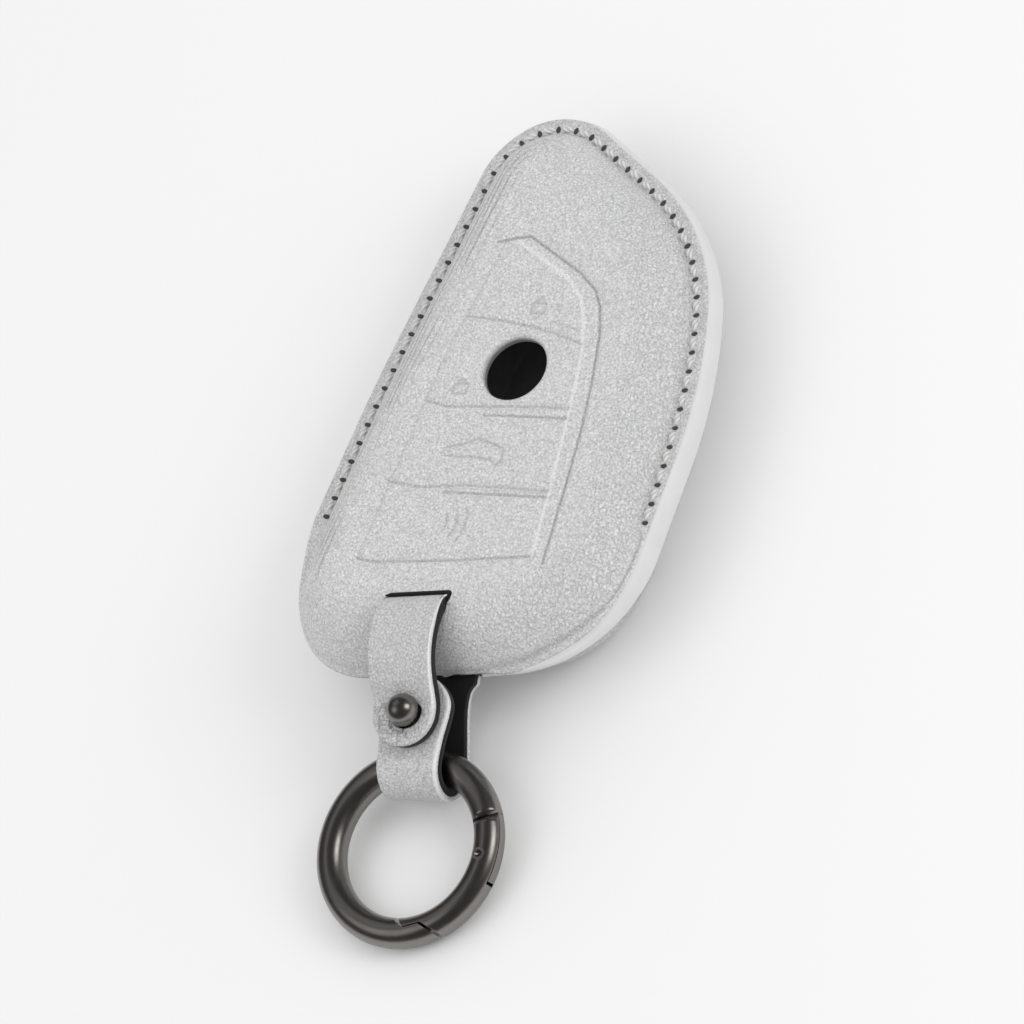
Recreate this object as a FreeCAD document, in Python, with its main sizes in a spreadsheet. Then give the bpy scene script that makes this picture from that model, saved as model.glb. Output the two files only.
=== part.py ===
import FreeCAD, Part
import math
import os
import Sketcher

# Sewn leather cover for a key fob, lying on its back, in millimetres.
# X runs across the cover, Y towards its pointed top, Z out of its front; the floor is Z = 0.
# Back and front are moulded leather trays with linings. A seam runs round three sides, the lower
# end is open, a buttoned strap closes it and a leather tab holds a ring with a sprung gate.

SIZES = {
    # corners of the cover's outline before rounding, clockwise from the top
    "apex_x": -12.6,
    "apex_y": 57.2,
    "apex_round": 11.5,
    "shoulder_x": 27.8,
    "shoulder_y": 29.3,
    "shoulder_round": 30.0,
    "flank_x": 32.5,
    "flank_y": -3.0,
    "flank_round": 100.0,
    "heel_right_x": 26.6,
    "heel_right_y": -41.8,
    "heel_right_round": 25.0,
    "toe_x": -2.0,
    "toe_y": -47.7,
    "toe_round": 60.0,
    "heel_left_x": -31.2,
    "heel_left_y": -48.0,
    "heel_left_round": 15.5,
    "hip_x": -31.2,
    "hip_y": -24.3,
    "hip_round": 45.0,
    "least_round": 3.0,
    # layers and trays
    "leather": 1.4,
    "lining": 0.6,
    "welt": 0.8,
    "front_rise": 6.2,
    "front_run": 8.2,
    "front_haunch_rise": 4.3,
    "front_haunch_run": 3.4,
    "back_rise": 9.0,
    "back_run": 9.2,
    "back_haunch_rise": 6.0,
    "back_haunch_run": 3.6,
    "front_round": 5.0,
    "back_round": 3.5,
    "seam_inset": 3.8,
    "lip_inset": 2.0,
    "welt_width": 2.2,
    # smooth edge round the leather
    "band_depth": 1.8,
    "band_round": 1.6,
    "band_gap": 0.8,
    "tab_opening_slack": 2.5,
    # fold that lets the lower end open
    "fold_y": -22.5,
    "fold_gap": 0.3,
    # window over the fob
    "window_x": 1.2,
    "window_y": 2.3,
    "window_bore": 11.0,
    # key panel pressed into the front: creases over its buttons and along its right side
    "crease_width": 0.9,
    "crease_depth": 0.35,
    "panel_left": -12.0,
    "panel_right": 15.4,
    "panel_low": -31.0,
    "button_low": -18.8,
    "button_high": -4.9,
    "panel_high": 9.4,
    # thread
    "stitch_pitch": 3.2,
    "stitch_length": 2.3,
    "stitch_width": 0.8,
    "stitch_height": 0.5,
    "stitch_gap": 0.8,
    # ring tab
    "strap_x": -4.2,
    "strap_width": 10.7,
    "tab_bend": 6.0,
    "tab_descent": 34.0,
    "tab_fall": 11.0,
    "tab_rise": 12.0,
    "tab_return": 9.0,
    "tab_head_bulge": 0.85,
    "loop_clear": 0.2,
    # closure strap
    "strap_leather": 0.8,
    "strap_lining": 1.2,
    "strap_slope": 38.0,
    "strap_crest": 8.0,
    "strap_valley": 10.0,
    "strap_flat": 3.0,
    "strap_entry": 1.2,
    "strap_tip": 5.6,
    "strap_lift": 0.2,
    "strap_end_flat": 0.3,
    "slot_slack": 0.7,
    "slot_height": 3.4,
    "root_thick": 1.5,
    "root_reach": 9.0,
    # button stud
    "stud_along": 6.7,
    "stud_neck": 1.6,
    "stud_ball": 2.55,
    "stud_collar": 2.6,
    "collar_thick": 0.45,
    "button_gap": 0.15,
    "slit_length": 3.2,
    "slit_width": 0.4,
    "screw_head": 3.0,
    "screw_head_thick": 0.9,
    "screw_shank": 0.9,
    "screw_reach": 3.0,
    "driver_slot": 0.7,
    "driver_depth": 0.4,
    # ring with its gate, angles in degrees from the ring's own X; pin_place and nose_mid are how far the
    # pin and the nose's step lie inside the wire's middle line
    "ring_mean": 13.7,
    "ring_wire": 2.4,
    "hinge_from": 22.0,
    "hinge_gap": 3.0,
    "tongue_end": -18.5,
    "fork_end": -20.5,
    "tongue_thick": 1.7,
    "fork_clear": 0.16,
    "pin_angle": -4.6,
    "pin_place": 0.3,
    "pin_radius": 1.0,
    "pin_clear": 0.05,
    "pin_length": 4.6,
    "dimple_radius": 0.5,
    "dimple_depth": 0.35,
    "nose_inner_angle": -100.0,
    "nose_tip_angle": -80.5,
    "nose_heel_angle": -67.0,
    "nose_outer_angle": -54.0,
    "nose_mid": 0.4,
    "nose_gap": 0.34,
    "spring_bore": 0.95,
    "spring_depth": 4.5,
    "spring_wire": 0.16,
    "spring_coil": 0.72,
    "spring_pitch": 0.9,
    "spring_end_gap": 0.15,
}

CORNERS = ("apex", "shoulder", "flank", "heel_right", "toe", "heel_left", "hip")
LIP_CORNERS = ("heel_right", "toe", "heel_left")


class Size:
    """A number together with the sheet expression that gives it."""

    def __init__(self, value, text):
        self.value = value
        self.text = text

    def __add__(self, other):
        other = as_size(other)
        return Size(self.value + other.value, f"({self.text} + {other.text})")

    def __sub__(self, other):
        other = as_size(other)
        return Size(self.value - other.value, f"({self.text} - {other.text})")

    def __mul__(self, other):
        other = as_size(other)
        return Size(self.value * other.value, f"({self.text} * {other.text})")

    def __truediv__(self, other):
        other = as_size(other)
        return Size(self.value / other.value, f"({self.text} / {other.text})")

    def __neg__(self):
        return Size(-self.value, f"(0 - {self.text})")


def as_size(item):
    """A plain number becomes a Size with its own digits as text."""
    if isinstance(item, Size):
        return item
    if item < 0:
        return Size(float(item), f"(0 - {-float(item):.7f})")
    return Size(float(item), f"{float(item):.7f}")


def larger(first, second):
    first, second = as_size(first), as_size(second)
    return Size(max(first.value, second.value), f"max({first.text}; {second.text})")


def root(item):
    return Size(math.sqrt(item.value), f"sqrt({item.text})")


def sine(item):
    return Size(math.sin(math.radians(item.value)), f"sin({item.text} * 1 deg)")


def cosine(item):
    return Size(math.cos(math.radians(item.value)), f"cos({item.text} * 1 deg)")


def arc_sine(item):
    return Size(math.degrees(math.asin(item.value)), f"(asin({item.text}) / 1 deg)")


doc = FreeCAD.newDocument("key_fob_cover")
sheet = doc.addObject("Spreadsheet::Sheet", "Sizes")
for row, (alias, number) in enumerate(SIZES.items(), 1):
    sheet.set(f"A{row}", alias)
    sheet.set(f"B{row}", str(number))
    sheet.setAlias(f"B{row}", alias)
doc.recompute()
D = {alias: Size(number, f"Sizes.{alias}") for alias, number in SIZES.items()}


def bind(item, path, size):
    """Ties one property of an object to the sheet."""
    item.setExpression(path, as_size(size).text)


def new_body(label):
    body = doc.addObject("PartDesign::Body", label)
    body.Label = label
    return body


def origin_plane(body, role):
    return next(item for item in body.Origin.OriginFeatures if item.Role == role)


def new_sketch(body, name, role="XY_Plane", level=None, turn=None, turn_axis=(0, 1, 0)):
    """A sketch on one of the body's own planes, lifted by level and turned about turn_axis."""
    sketch = body.newObject("Sketcher::SketchObject", name)
    sketch.AttachmentSupport = [(origin_plane(body, role), "")]
    sketch.MapMode = "FlatFace"
    if turn is not None:
        spin = FreeCAD.Rotation(FreeCAD.Vector(*turn_axis), turn.value)
        sketch.AttachmentOffset = FreeCAD.Placement(FreeCAD.Vector(0, 0, 0), spin)
        bind(sketch, "AttachmentOffset.Rotation.Angle", turn)
    if level is not None:
        bind(sketch, "AttachmentOffset.Base.z", level)
    sketch.Visibility = False
    return sketch


def hold(sketch, constraint, name, size):
    """Adds a dimension and ties it to the sheet."""
    index = sketch.addConstraint(constraint)
    sketch.renameConstraint(index, name)
    sketch.setExpression(f"Constraints.{name}", as_size(size).text)


def flat(x, y):
    return FreeCAD.Vector(x, y, 0)


def arc_between(centre, radius, start, end):
    """The anticlockwise arc from start to end."""
    first = math.atan2(start[1] - centre[1], start[0] - centre[0])
    last = math.atan2(end[1] - centre[1], end[0] - centre[0])
    if last <= first:
        last += 2 * math.pi
    circle = Part.Circle(flat(*centre), FreeCAD.Vector(0, 0, 1), radius)
    return Part.ArcOfCircle(circle, first, last)


def unit(start, end):
    length = math.hypot(end[0] - start[0], end[1] - start[1])
    return (end[0] - start[0]) / length, (end[1] - start[1]) / length


def mitre(index):
    """How far a corner of the outline moves for each millimetre that both its sides move in."""
    places = [(SIZES[f"{name}_x"], SIZES[f"{name}_y"]) for name in CORNERS]
    here = places[index]
    before = unit(places[index - 1], here)
    after = unit(here, places[(index + 1) % len(places)])
    first, second = (before[1], -before[0]), (after[1], -after[0])
    share = 1 + first[0] * second[0] + first[1] * second[1]
    return (first[0] + second[0]) / share, (first[1] + second[1]) / share


def inset_corners(seam, lip):
    """Corners moved in by seam round the sewn sides and by lip at the open end, with rounds."""
    corners = []
    for index, name in enumerate(CORNERS):
        inset = as_size(lip if name in LIP_CORNERS else seam)
        along_x, along_y = mitre(index)
        place_x = D[f"{name}_x"] + inset * along_x
        place_y = D[f"{name}_y"] + inset * along_y
        corners.append((place_x, place_y, larger(D[f"{name}_round"] - inset, D["least_round"])))
    return corners


def rounded_points(corners):
    """Tangent points and centre of the round at each corner of a clockwise outline."""
    places = [(place_x.value, place_y.value) for place_x, place_y, _ in corners]
    rounds = []
    for index, here in enumerate(places):
        back = unit(here, places[index - 1])
        ahead = unit(here, places[(index + 1) % len(places)])
        half = math.acos(back[0] * ahead[0] + back[1] * ahead[1]) / 2
        radius = corners[index][2].value
        reach = radius / math.tan(half)
        middle = unit((0, 0), (back[0] + ahead[0], back[1] + ahead[1]))
        far = radius / math.sin(half)
        enter = here[0] + back[0] * reach, here[1] + back[1] * reach
        leave = here[0] + ahead[0] * reach, here[1] + ahead[1] * reach
        centre = here[0] + middle[0] * far, here[1] + middle[1] * far
        rounds.append((enter, leave, centre, radius))
    return rounds


def outline(body, name, level, seam, lip):
    """Sketch of the cover's outline, moved in by seam and lip, at a height."""
    corners = inset_corners(seam, lip)
    rounds = rounded_points(corners)
    count = len(corners)
    sketch = new_sketch(body, name, level=as_size(level))
    shapes = []
    for index in range(count):
        following = rounds[(index + 1) % count]
        shapes.append(Part.LineSegment(flat(*rounds[index][1]), flat(*following[0])))
    for enter, leave, centre, radius in rounds:
        shapes.append(arc_between(centre, radius, leave, enter))
    sketch.addGeometry(shapes, False)
    marks = [Part.Point(flat(place_x.value, place_y.value)) for place_x, place_y, _ in corners]
    sketch.addGeometry(marks, True)
    joins = []
    for index in range(count):
        arc, next_arc = count + index, count + (index + 1) % count
        mark = 2 * count + index
        joins.append(Sketcher.Constraint("Tangent", index, 1, arc, 1))
        joins.append(Sketcher.Constraint("Tangent", index, 2, next_arc, 2))
        joins.append(Sketcher.Constraint("PointOnObject", mark, 1, index))
        joins.append(Sketcher.Constraint("PointOnObject", mark, 1, (index - 1) % count))
    sketch.addConstraint(joins)
    for index, (place_x, place_y, radius) in enumerate(corners):
        mark, label = 2 * count + index, CORNERS[index]
        across = Sketcher.Constraint("DistanceX", -1, 1, mark, 1, place_x.value)
        along = Sketcher.Constraint("DistanceY", -1, 1, mark, 1, place_y.value)
        bend = Sketcher.Constraint("Radius", count + index, radius.value)
        hold(sketch, across, f"{label}_across", place_x)
        hold(sketch, along, f"{label}_along", place_y)
        hold(sketch, bend, f"{label}_bend", radius)
    return sketch


def rectangle(sketch, left, right, low, high):
    """A rectangle between four bound sizes."""
    left, right, low, high = (as_size(item) for item in (left, right, low, high))
    corners = [flat(left.value, low.value), flat(right.value, low.value)]
    corners += [flat(right.value, high.value), flat(left.value, high.value)]
    sides = [Part.LineSegment(corners[i], corners[(i + 1) % 4]) for i in range(4)]
    sketch.addGeometry(sides, False)
    joins = [Sketcher.Constraint("Coincident", i, 2, (i + 1) % 4, 1) for i in range(4)]
    joins += [Sketcher.Constraint("Horizontal", 0), Sketcher.Constraint("Horizontal", 2)]
    joins += [Sketcher.Constraint("Vertical", 1), Sketcher.Constraint("Vertical", 3)]
    sketch.addConstraint(joins)
    hold(sketch, Sketcher.Constraint("DistanceX", -1, 1, 0, 1, left.value), "left", left)
    hold(sketch, Sketcher.Constraint("DistanceX", -1, 1, 1, 1, right.value), "right", right)
    hold(sketch, Sketcher.Constraint("DistanceY", -1, 1, 0, 1, low.value), "low", low)
    hold(sketch, Sketcher.Constraint("DistanceY", -1, 1, 2, 1, high.value), "high", high)


def circle(sketch, place_x, place_y, radius, name="bore"):
    """A circle at a bound place with a bound radius."""
    place_x, place_y, radius = as_size(place_x), as_size(place_y), as_size(radius)
    ring = Part.Circle(flat(place_x.value, place_y.value), FreeCAD.Vector(0, 0, 1), radius.value)
    index = sketch.addGeometry(ring, False)
    across = Sketcher.Constraint("DistanceX", -1, 1, index, 3, place_x.value)
    along = Sketcher.Constraint("DistanceY", -1, 1, index, 3, place_y.value)
    hold(sketch, across, f"{name}_x", place_x)
    hold(sketch, along, f"{name}_y", place_y)
    hold(sketch, Sketcher.Constraint("Radius", index, radius.value), f"{name}_radius", radius)


def feature(body, kind, name, sketch):
    item = body.newObject(f"PartDesign::{kind}", name)
    item.Profile = sketch
    return item


def pad(body, name, sketch, length, backward=False, both_ways=False):
    item = feature(body, "Pad", name, sketch)
    bind(item, "Length", length)
    item.Reversed = backward
    if both_ways:
        item.SideType = "Symmetric"
    return item


def pocket(body, name, sketch, length, backward=False, both_ways=False):
    item = feature(body, "Pocket", name, sketch)
    bind(item, "Length", length)
    item.Reversed = backward
    if both_ways:
        item.SideType = "Symmetric"
    return item


def fillet_level(body, name, height, radius):
    """Rounds every edge that lies flat at one of the given heights."""
    doc.recompute()
    base = body.Tip
    edges = []
    for index, edge in enumerate(base.Shape.Edges, 1):
        box = edge.BoundBox
        if any(abs(box.ZMin - z.value) < 1e-4 and abs(box.ZMax - z.value) < 1e-4 for z in height):
            edges.append(f"Edge{index}")
    item = body.newObject("PartDesign::Fillet", name)
    item.Base = (base, edges)
    bind(item, "Radius", radius)
    return item


def cut_below(body, name, edge_y, top, drop):
    """Removes what lies on the toe's side of edge_y."""
    sketch = new_sketch(body, f"{name}_area", level=top)
    rectangle(sketch, D["heel_left_x"] * 2, D["flank_x"] * 2, D["heel_left_y"] * 2, edge_y)
    pocket(body, name, sketch, drop)


def cut_above(body, name, edge_y, top, drop):
    """Removes what lies on the apex's side of edge_y."""
    sketch = new_sketch(body, f"{name}_area", level=top)
    rectangle(sketch, D["heel_left_x"] * 2, D["flank_x"] * 2, edge_y, D["apex_y"] * 2)
    pocket(body, name, sketch, drop)


# heights of the layers in the seam, from the floor up
BACK_FACE = D["back_rise"]
BACK_BOND = BACK_FACE + D["leather"]
BACK_INSIDE = BACK_BOND + D["lining"]
FRONT_INSIDE = BACK_INSIDE + D["welt"]
FRONT_BOND = FRONT_INSIDE + D["lining"]
FRONT_FACE = FRONT_BOND + D["leather"]
PLATEAU = FRONT_FACE + D["front_rise"]
ABOVE = PLATEAU + D["leather"]
THROUGH = ABOVE + D["leather"]


def wall_shifts(thickness, stations):
    """How far in the inner wall of a tray stands at each station, one thickness further down."""
    slopes = []
    for (run, rise), (next_run, next_rise) in zip(stations, stations[1:]):
        wide, high = next_run - run, next_rise - rise
        slopes.append(thickness * (root(wide * wide + high * high) - wide) / high)
    return [slopes[0], (slopes[0] + slopes[1]) / 2, slopes[1]]


def wall(body, kind, name, insets, levels):
    """A ruled solid through outlines at rising insets."""
    rings = []
    for index, (inset, level) in enumerate(zip(insets, levels)):
        seam, lip = D["seam_inset"] + inset, D["lip_inset"] + inset
        rings.append(outline(body, f"{name}_ring_{index}", level, seam, lip))
    item = feature(body, kind, name, rings[0])
    item.Sections = rings[1:]
    item.Ruled = True


def tray(label, outer, thickness, stations, nested, side, crown_round=None):
    """A moulded tray: a flange at outer, and a hollow raised through its stations.

    stations are run and rise at the foot, the haunch and the crown. nested is the extra inset at
    each, for a layer that lies inside another. side is 1 where the tray rises and -1 where it drops.
    """
    body = new_body(label)
    step = thickness * side
    band = outline(body, f"{label}_edge", outer - step, D["band_depth"], D["band_depth"])
    pad(body, f"{label}_flange", band, thickness, backward=side < 0)
    insets = [run + extra for (run, rise), extra in zip(stations, nested)]
    levels = [outer + rise * side for run, rise in stations]
    wall(body, "AdditiveLoft", f"{label}_raised", insets, levels)
    if crown_round:
        fillet_level(body, f"{label}_round", [levels[-1]], crown_round)
    shifted = [inset + shift for inset, shift in zip(insets, wall_shifts(thickness, stations))]
    wall(body, "SubtractiveLoft", f"{label}_hollow", shifted, [level - step for level in levels])
    return body


NONE = as_size(0)
FRONT_STATIONS = ((NONE, NONE), (D["front_haunch_run"], D["front_haunch_rise"]),
                  (D["front_run"], D["front_rise"]))
BACK_STATIONS = ((NONE, NONE), (D["back_haunch_run"], D["back_haunch_rise"]),
                 (D["back_run"], D["back_rise"]))


def front_tray(label, lined):
    """Front leather, or the lining glued inside it."""
    if lined:
        inside = wall_shifts(D["leather"], FRONT_STATIONS)
        return tray(label, FRONT_BOND, D["lining"], FRONT_STATIONS, inside, 1)
    return tray(label, FRONT_FACE, D["leather"], FRONT_STATIONS, [NONE] * 3, 1, D["front_round"])


def back_tray(label, lined):
    """Back leather, or the lining glued inside it."""
    if lined:
        inside = wall_shifts(D["leather"], BACK_STATIONS)
        return tray(label, BACK_BOND, D["lining"], BACK_STATIONS, inside, -1)
    return tray(label, BACK_FACE, D["leather"], BACK_STATIONS, [NONE] * 3, -1, D["back_round"])


class Walk:
    """A strip's side view, walked along one face in lines and arcs, in the YZ plane."""

    def __init__(self, start_y, start_z, heading):
        self.place = (as_size(start_y), as_size(start_z))
        self.heading = as_size(heading)
        self.steps = []

    def _note(self, kind, end, heading, centre=None, radius=None, turn=None):
        start = (self.place[0].value, self.place[1].value)
        self.steps.append((kind, start, self.heading.value, end, heading.value, centre, radius, turn))

    def line(self, length):
        length = as_size(length)
        end_y = self.place[0] + length * cosine(self.heading)
        end_z = self.place[1] + length * sine(self.heading)
        self._note("line", (end_y.value, end_z.value), self.heading, radius=length)
        self.place = (end_y, end_z)
        return self

    def arc(self, radius, turn):
        """Turns left for a positive angle in degrees and right for a negative one."""
        radius, turn = as_size(radius), as_size(turn)
        side = 1 if turn.value > 0 else -1
        centre_y = self.place[0] - radius * sine(self.heading) * side
        centre_z = self.place[1] + radius * cosine(self.heading) * side
        heading = self.heading + turn
        end_y = centre_y + radius * sine(heading) * side
        end_z = centre_z - radius * cosine(heading) * side
        centre = (centre_y.value, centre_z.value)
        self._note("arc", (end_y.value, end_z.value), heading, centre, radius, turn.value)
        self.place, self.heading, self.centre = (end_y, end_z), heading, (centre_y, centre_z)
        return self


def left_of(place, heading, distance):
    angle = math.radians(heading)
    return place[0] - distance * math.sin(angle), place[1] + distance * math.cos(angle)


def strip(body, name, walk, near, far):
    """Pads the band between two distances to the left of a walk, as wide as the straps."""
    near, far = as_size(near), as_size(far)
    sketch = new_sketch(body, f"{name}_side", "YZ_Plane", level=D["strap_x"])
    sides = []
    for distance in (near, far):
        side = []
        for kind, start, head, end, next_head, centre, radius, turn in walk.steps:
            first = left_of(start, head, distance.value)
            last = left_of(end, next_head, distance.value)
            if kind == "line":
                index = sketch.addGeometry(Part.LineSegment(flat(*first), flat(*last)), False)
                side.append((index, 1, 2))
                length = Sketcher.Constraint("Distance", index, 1, index, 2, radius.value)
                hold(sketch, length, f"run_{index}", radius)
            else:
                bend = radius - distance if turn > 0 else radius + distance
                ends = (first, last) if turn > 0 else (last, first)
                index = sketch.addGeometry(arc_between(centre, bend.value, *ends), False)
                side.append((index, 1, 2) if turn > 0 else (index, 2, 1))
                hold(sketch, Sketcher.Constraint("Radius", index, bend.value), f"bend_{index}", bend)
        for one, two in zip(side, side[1:]):
            sketch.addConstraint(Sketcher.Constraint("Tangent", one[0], one[2], two[0], two[1]))
        sides.append(side)
    first_step, last_step = walk.steps[0], walk.steps[-1]
    for place, head, end in ((first_step[1], first_step[2], 0), (last_step[3], last_step[4], -1)):
        cap = Part.LineSegment(flat(*left_of(place, head, near.value)),
                               flat(*left_of(place, head, far.value)))
        index = sketch.addGeometry(cap, False)
        corner = 1 if end == 0 else 2
        inner, outer = sides[0][end], sides[1][end]
        sketch.addConstraint(Sketcher.Constraint("Coincident", index, 1, inner[0], inner[corner]))
        sketch.addConstraint(Sketcher.Constraint("Coincident", index, 2, outer[0], outer[corner]))
    item = pad(body, f"{name}_strip", sketch, D["strap_width"], both_ways=True)
    doc.recompute()
    return item


def round_end(body, name, place, radius):
    """Rounds the two corners of a strip's end that stand nearest to a place in side view."""
    base = body.Tip
    ranked = []
    for index, edge in enumerate(base.Shape.Edges, 1):
        box = edge.BoundBox
        middle = edge.CenterOfMass
        if box.XLength < 1e-6:
            reach = math.hypot(middle.y - place[0], middle.z - place[1])
            ranked.append((reach, edge.Length, f"Edge{index}"))
    ranked.sort()
    item = body.newObject("PartDesign::Fillet", name)
    item.Base = (base, [ranked[0][2], ranked[1][2]])
    bind(item, "Radius", radius)
    doc.recompute()


# front and back trays
front_panel = front_tray("front_panel", False)
front_lining = front_tray("front_lining", True)
back_panel = back_tray("back_panel", False)
back_lining = back_tray("back_lining", True)
back_flap = back_tray("back_flap", False)
flap_lining = back_tray("flap_lining", True)
HALF_FOLD = D["fold_gap"] / 2
for sewn in (back_panel, back_lining):
    cut_below(sewn, f"{sewn.Label}_fold", D["fold_y"] + HALF_FOLD, ABOVE, THROUGH * 2)
for loose in (back_flap, flap_lining):
    cut_above(loose, f"{loose.Label}_fold", D["fold_y"] - HALF_FOLD, ABOVE, THROUGH * 2)

# side view of the ring tab: its inner face, from the flap's lip round the ring and back
STRAP_THICK = D["strap_leather"] + D["strap_lining"]
HALF_STRAP = D["strap_width"] / 2
LIP_Y = D["toe_y"] + D["band_depth"]
# the loop is round the ring's wire, which curves away from the strap's middle to its edges
WIRE_FAR = D["ring_mean"] + D["ring_wire"]
EYE = D["ring_mean"] - D["ring_wire"]
WIRE_NEAR = root(EYE * EYE - HALF_STRAP * HALF_STRAP)
LOOP_INNER = (WIRE_FAR - WIRE_NEAR) / 2 + D["loop_clear"]
LOOP_ARM = (WIRE_FAR + WIRE_NEAR) / 2
tab_walk = Walk(LIP_Y, BACK_INSIDE, 180)
tab_walk.arc(D["tab_bend"], D["tab_descent"]).line(D["tab_fall"])
tab_walk.arc(LOOP_INNER, -(D["tab_descent"] + 180 - D["tab_rise"]))
LOOP_Y, LOOP_Z = tab_walk.centre
LOOP_END = tab_walk.place
tab_walk.line(D["tab_return"])

# side view of the closure strap: its under face, from its tip over the stud and up to the slot
UPWARD = (-sine(D["tab_rise"]), cosine(D["tab_rise"]))
AHEAD = (cosine(D["tab_rise"]), sine(D["tab_rise"]))
STUD_Y = LOOP_END[0] + AHEAD[0] * D["stud_along"] + UPWARD[0] * STRAP_THICK
STUD_Z = LOOP_END[1] + AHEAD[1] * D["stud_along"] + UPWARD[1] * STRAP_THICK
RAISED = D["collar_thick"] + D["button_gap"]
BUTTON_Y = STUD_Y + UPWARD[0] * RAISED
BUTTON_Z = STUD_Z + UPWARD[1] * RAISED
CLIMB = PLATEAU + D["strap_lift"] - BUTTON_Z
BENDS = (D["strap_flat"] * AHEAD[1]
         + D["strap_valley"] * (cosine(D["tab_rise"]) - cosine(D["strap_slope"]))
         + D["strap_crest"] * (as_size(1) - cosine(D["strap_slope"])))
RAMP = (CLIMB - BENDS) / sine(D["strap_slope"])
strap_walk = Walk(BUTTON_Y - AHEAD[0] * D["strap_tip"], BUTTON_Z - AHEAD[1] * D["strap_tip"],
                  D["tab_rise"])
TIP = (strap_walk.place[0].value, strap_walk.place[1].value)
strap_walk.line(D["strap_tip"] + D["strap_flat"])
strap_walk.arc(D["strap_valley"], D["strap_slope"] - D["tab_rise"]).line(RAMP)
strap_walk.arc(D["strap_crest"], -D["strap_slope"]).line(D["strap_entry"])
SLOT_Y = strap_walk.place[0]

# holes of the front: window over the fob and slot for the strap
SLOT_LOW = SLOT_Y - D["strap_entry"] / 2
SLOT_HIGH = SLOT_LOW + D["slot_height"]
HALF_SLOT = HALF_STRAP + D["slot_slack"] / 2
for layer in (front_panel, front_lining):
    label = layer.Label
    window = new_sketch(layer, f"{label}_window_area", level=ABOVE)
    circle(window, D["window_x"], D["window_y"], D["window_bore"] / 2)
    pocket(layer, f"{label}_window", window, D["leather"] * 4)
    slot = new_sketch(layer, f"{label}_slot_area", level=ABOVE)
    rectangle(slot, D["strap_x"] - HALF_SLOT, D["strap_x"] + HALF_SLOT, SLOT_LOW, SLOT_HIGH)
    pocket(layer, f"{label}_slot", slot, D["leather"] * 4)
HALF_CREASE = D["crease_width"] / 2


def crease(name, left, right, low, high):
    """Presses one straight crease into the front."""
    area = new_sketch(front_panel, f"{name}_area", level=PLATEAU)
    rectangle(area, left, right, low, high)
    pocket(front_panel, name, area, D["crease_depth"])


for name in ("panel_low", "button_low", "button_high", "panel_high"):
    crease(f"{name}_crease", D["panel_left"], D["panel_right"] - D["crease_width"],
           D[name] - HALF_CREASE, D[name] + HALF_CREASE)
crease("panel_side_crease", D["panel_right"] - HALF_CREASE, D["panel_right"] + HALF_CREASE,
       D["panel_low"], D["panel_high"])


def edge_strip(label):
    """The rounded smooth edge, all the way round."""
    body = new_body(label)
    outside = outline(body, f"{label}_outside", BACK_FACE, 0, 0)
    pad(body, f"{label}_solid", outside, FRONT_FACE - BACK_FACE)
    fillet_level(body, f"{label}_round", [BACK_FACE, FRONT_FACE], D["band_round"])
    inside = outline(body, f"{label}_inside", ABOVE, D["band_depth"], D["band_depth"])
    pocket(body, f"{label}_bore", inside, THROUGH)
    return body


edge_band = edge_strip("edge_band")
cut_below(edge_band, "edge_band_fold", D["fold_y"] + HALF_FOLD, ABOVE, THROUGH)
# the flap's edge is glued to the flap alone, and stands clear of the front that it closes on
flap_edge_band = edge_strip("flap_edge_band")
FLAP_DEPTH = D["band_depth"] - D["band_gap"]
rebate_area = outline(flap_edge_band, "flap_rebate_area", ABOVE, FLAP_DEPTH, FLAP_DEPTH)
pocket(flap_edge_band, "flap_rebate", rebate_area, ABOVE - BACK_INSIDE)
cut_above(flap_edge_band, "flap_edge_band_fold", D["fold_y"] - HALF_FOLD, ABOVE, THROUGH)
HALF_OPENING = HALF_STRAP + D["tab_opening_slack"] / 2
gap_area = new_sketch(flap_edge_band, "tab_opening_area", level=ABOVE)
rectangle(gap_area, D["strap_x"] - HALF_OPENING, D["strap_x"] + HALF_OPENING,
          D["heel_left_y"] * 2, D["fold_y"])
pocket(flap_edge_band, "tab_opening_cut", gap_area, THROUGH)

seam_welt = new_body("seam_welt")
welt_outside = outline(seam_welt, "welt_outside", BACK_INSIDE, D["band_depth"], D["band_depth"])
pad(seam_welt, "welt_solid", welt_outside, D["welt"])
WELT_INSET = D["band_depth"] + D["welt_width"]
welt_inside = outline(seam_welt, "welt_inside", ABOVE, WELT_INSET, WELT_INSET)
pocket(seam_welt, "welt_bore", welt_inside, THROUGH)
cut_below(seam_welt, "welt_fold", D["fold_y"] + HALF_FOLD, ABOVE, THROUGH)


def seam_places():
    """Middle and heading of each stitch, evenly along the seam from the fold over the top."""
    gap = D["stitch_gap"]
    rounds = rounded_points(inset_corners(D["seam_inset"] - gap, D["lip_inset"] - gap))
    edges = []
    for index, (enter, leave, centre, radius) in enumerate(rounds):
        following = rounds[(index + 1) % len(rounds)]
        edges.append(arc_between(centre, radius, leave, enter).toShape())
        edges.append(Part.LineSegment(flat(*leave), flat(*following[0])).toShape())
    path = Part.Wire(Part.__sortEdges__(edges))
    points = path.discretize(Distance=SIZES["stitch_pitch"] / 16)
    lowest = min(range(len(points)), key=lambda index: points[index].y)
    points = points[lowest:] + points[:lowest]
    sewn = [point for point in points if point.y > SIZES["fold_y"] + SIZES["stitch_length"]]
    return [(here, after - here) for here, after in zip(sewn[4:-1:16], sewn[5::16])]


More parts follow.
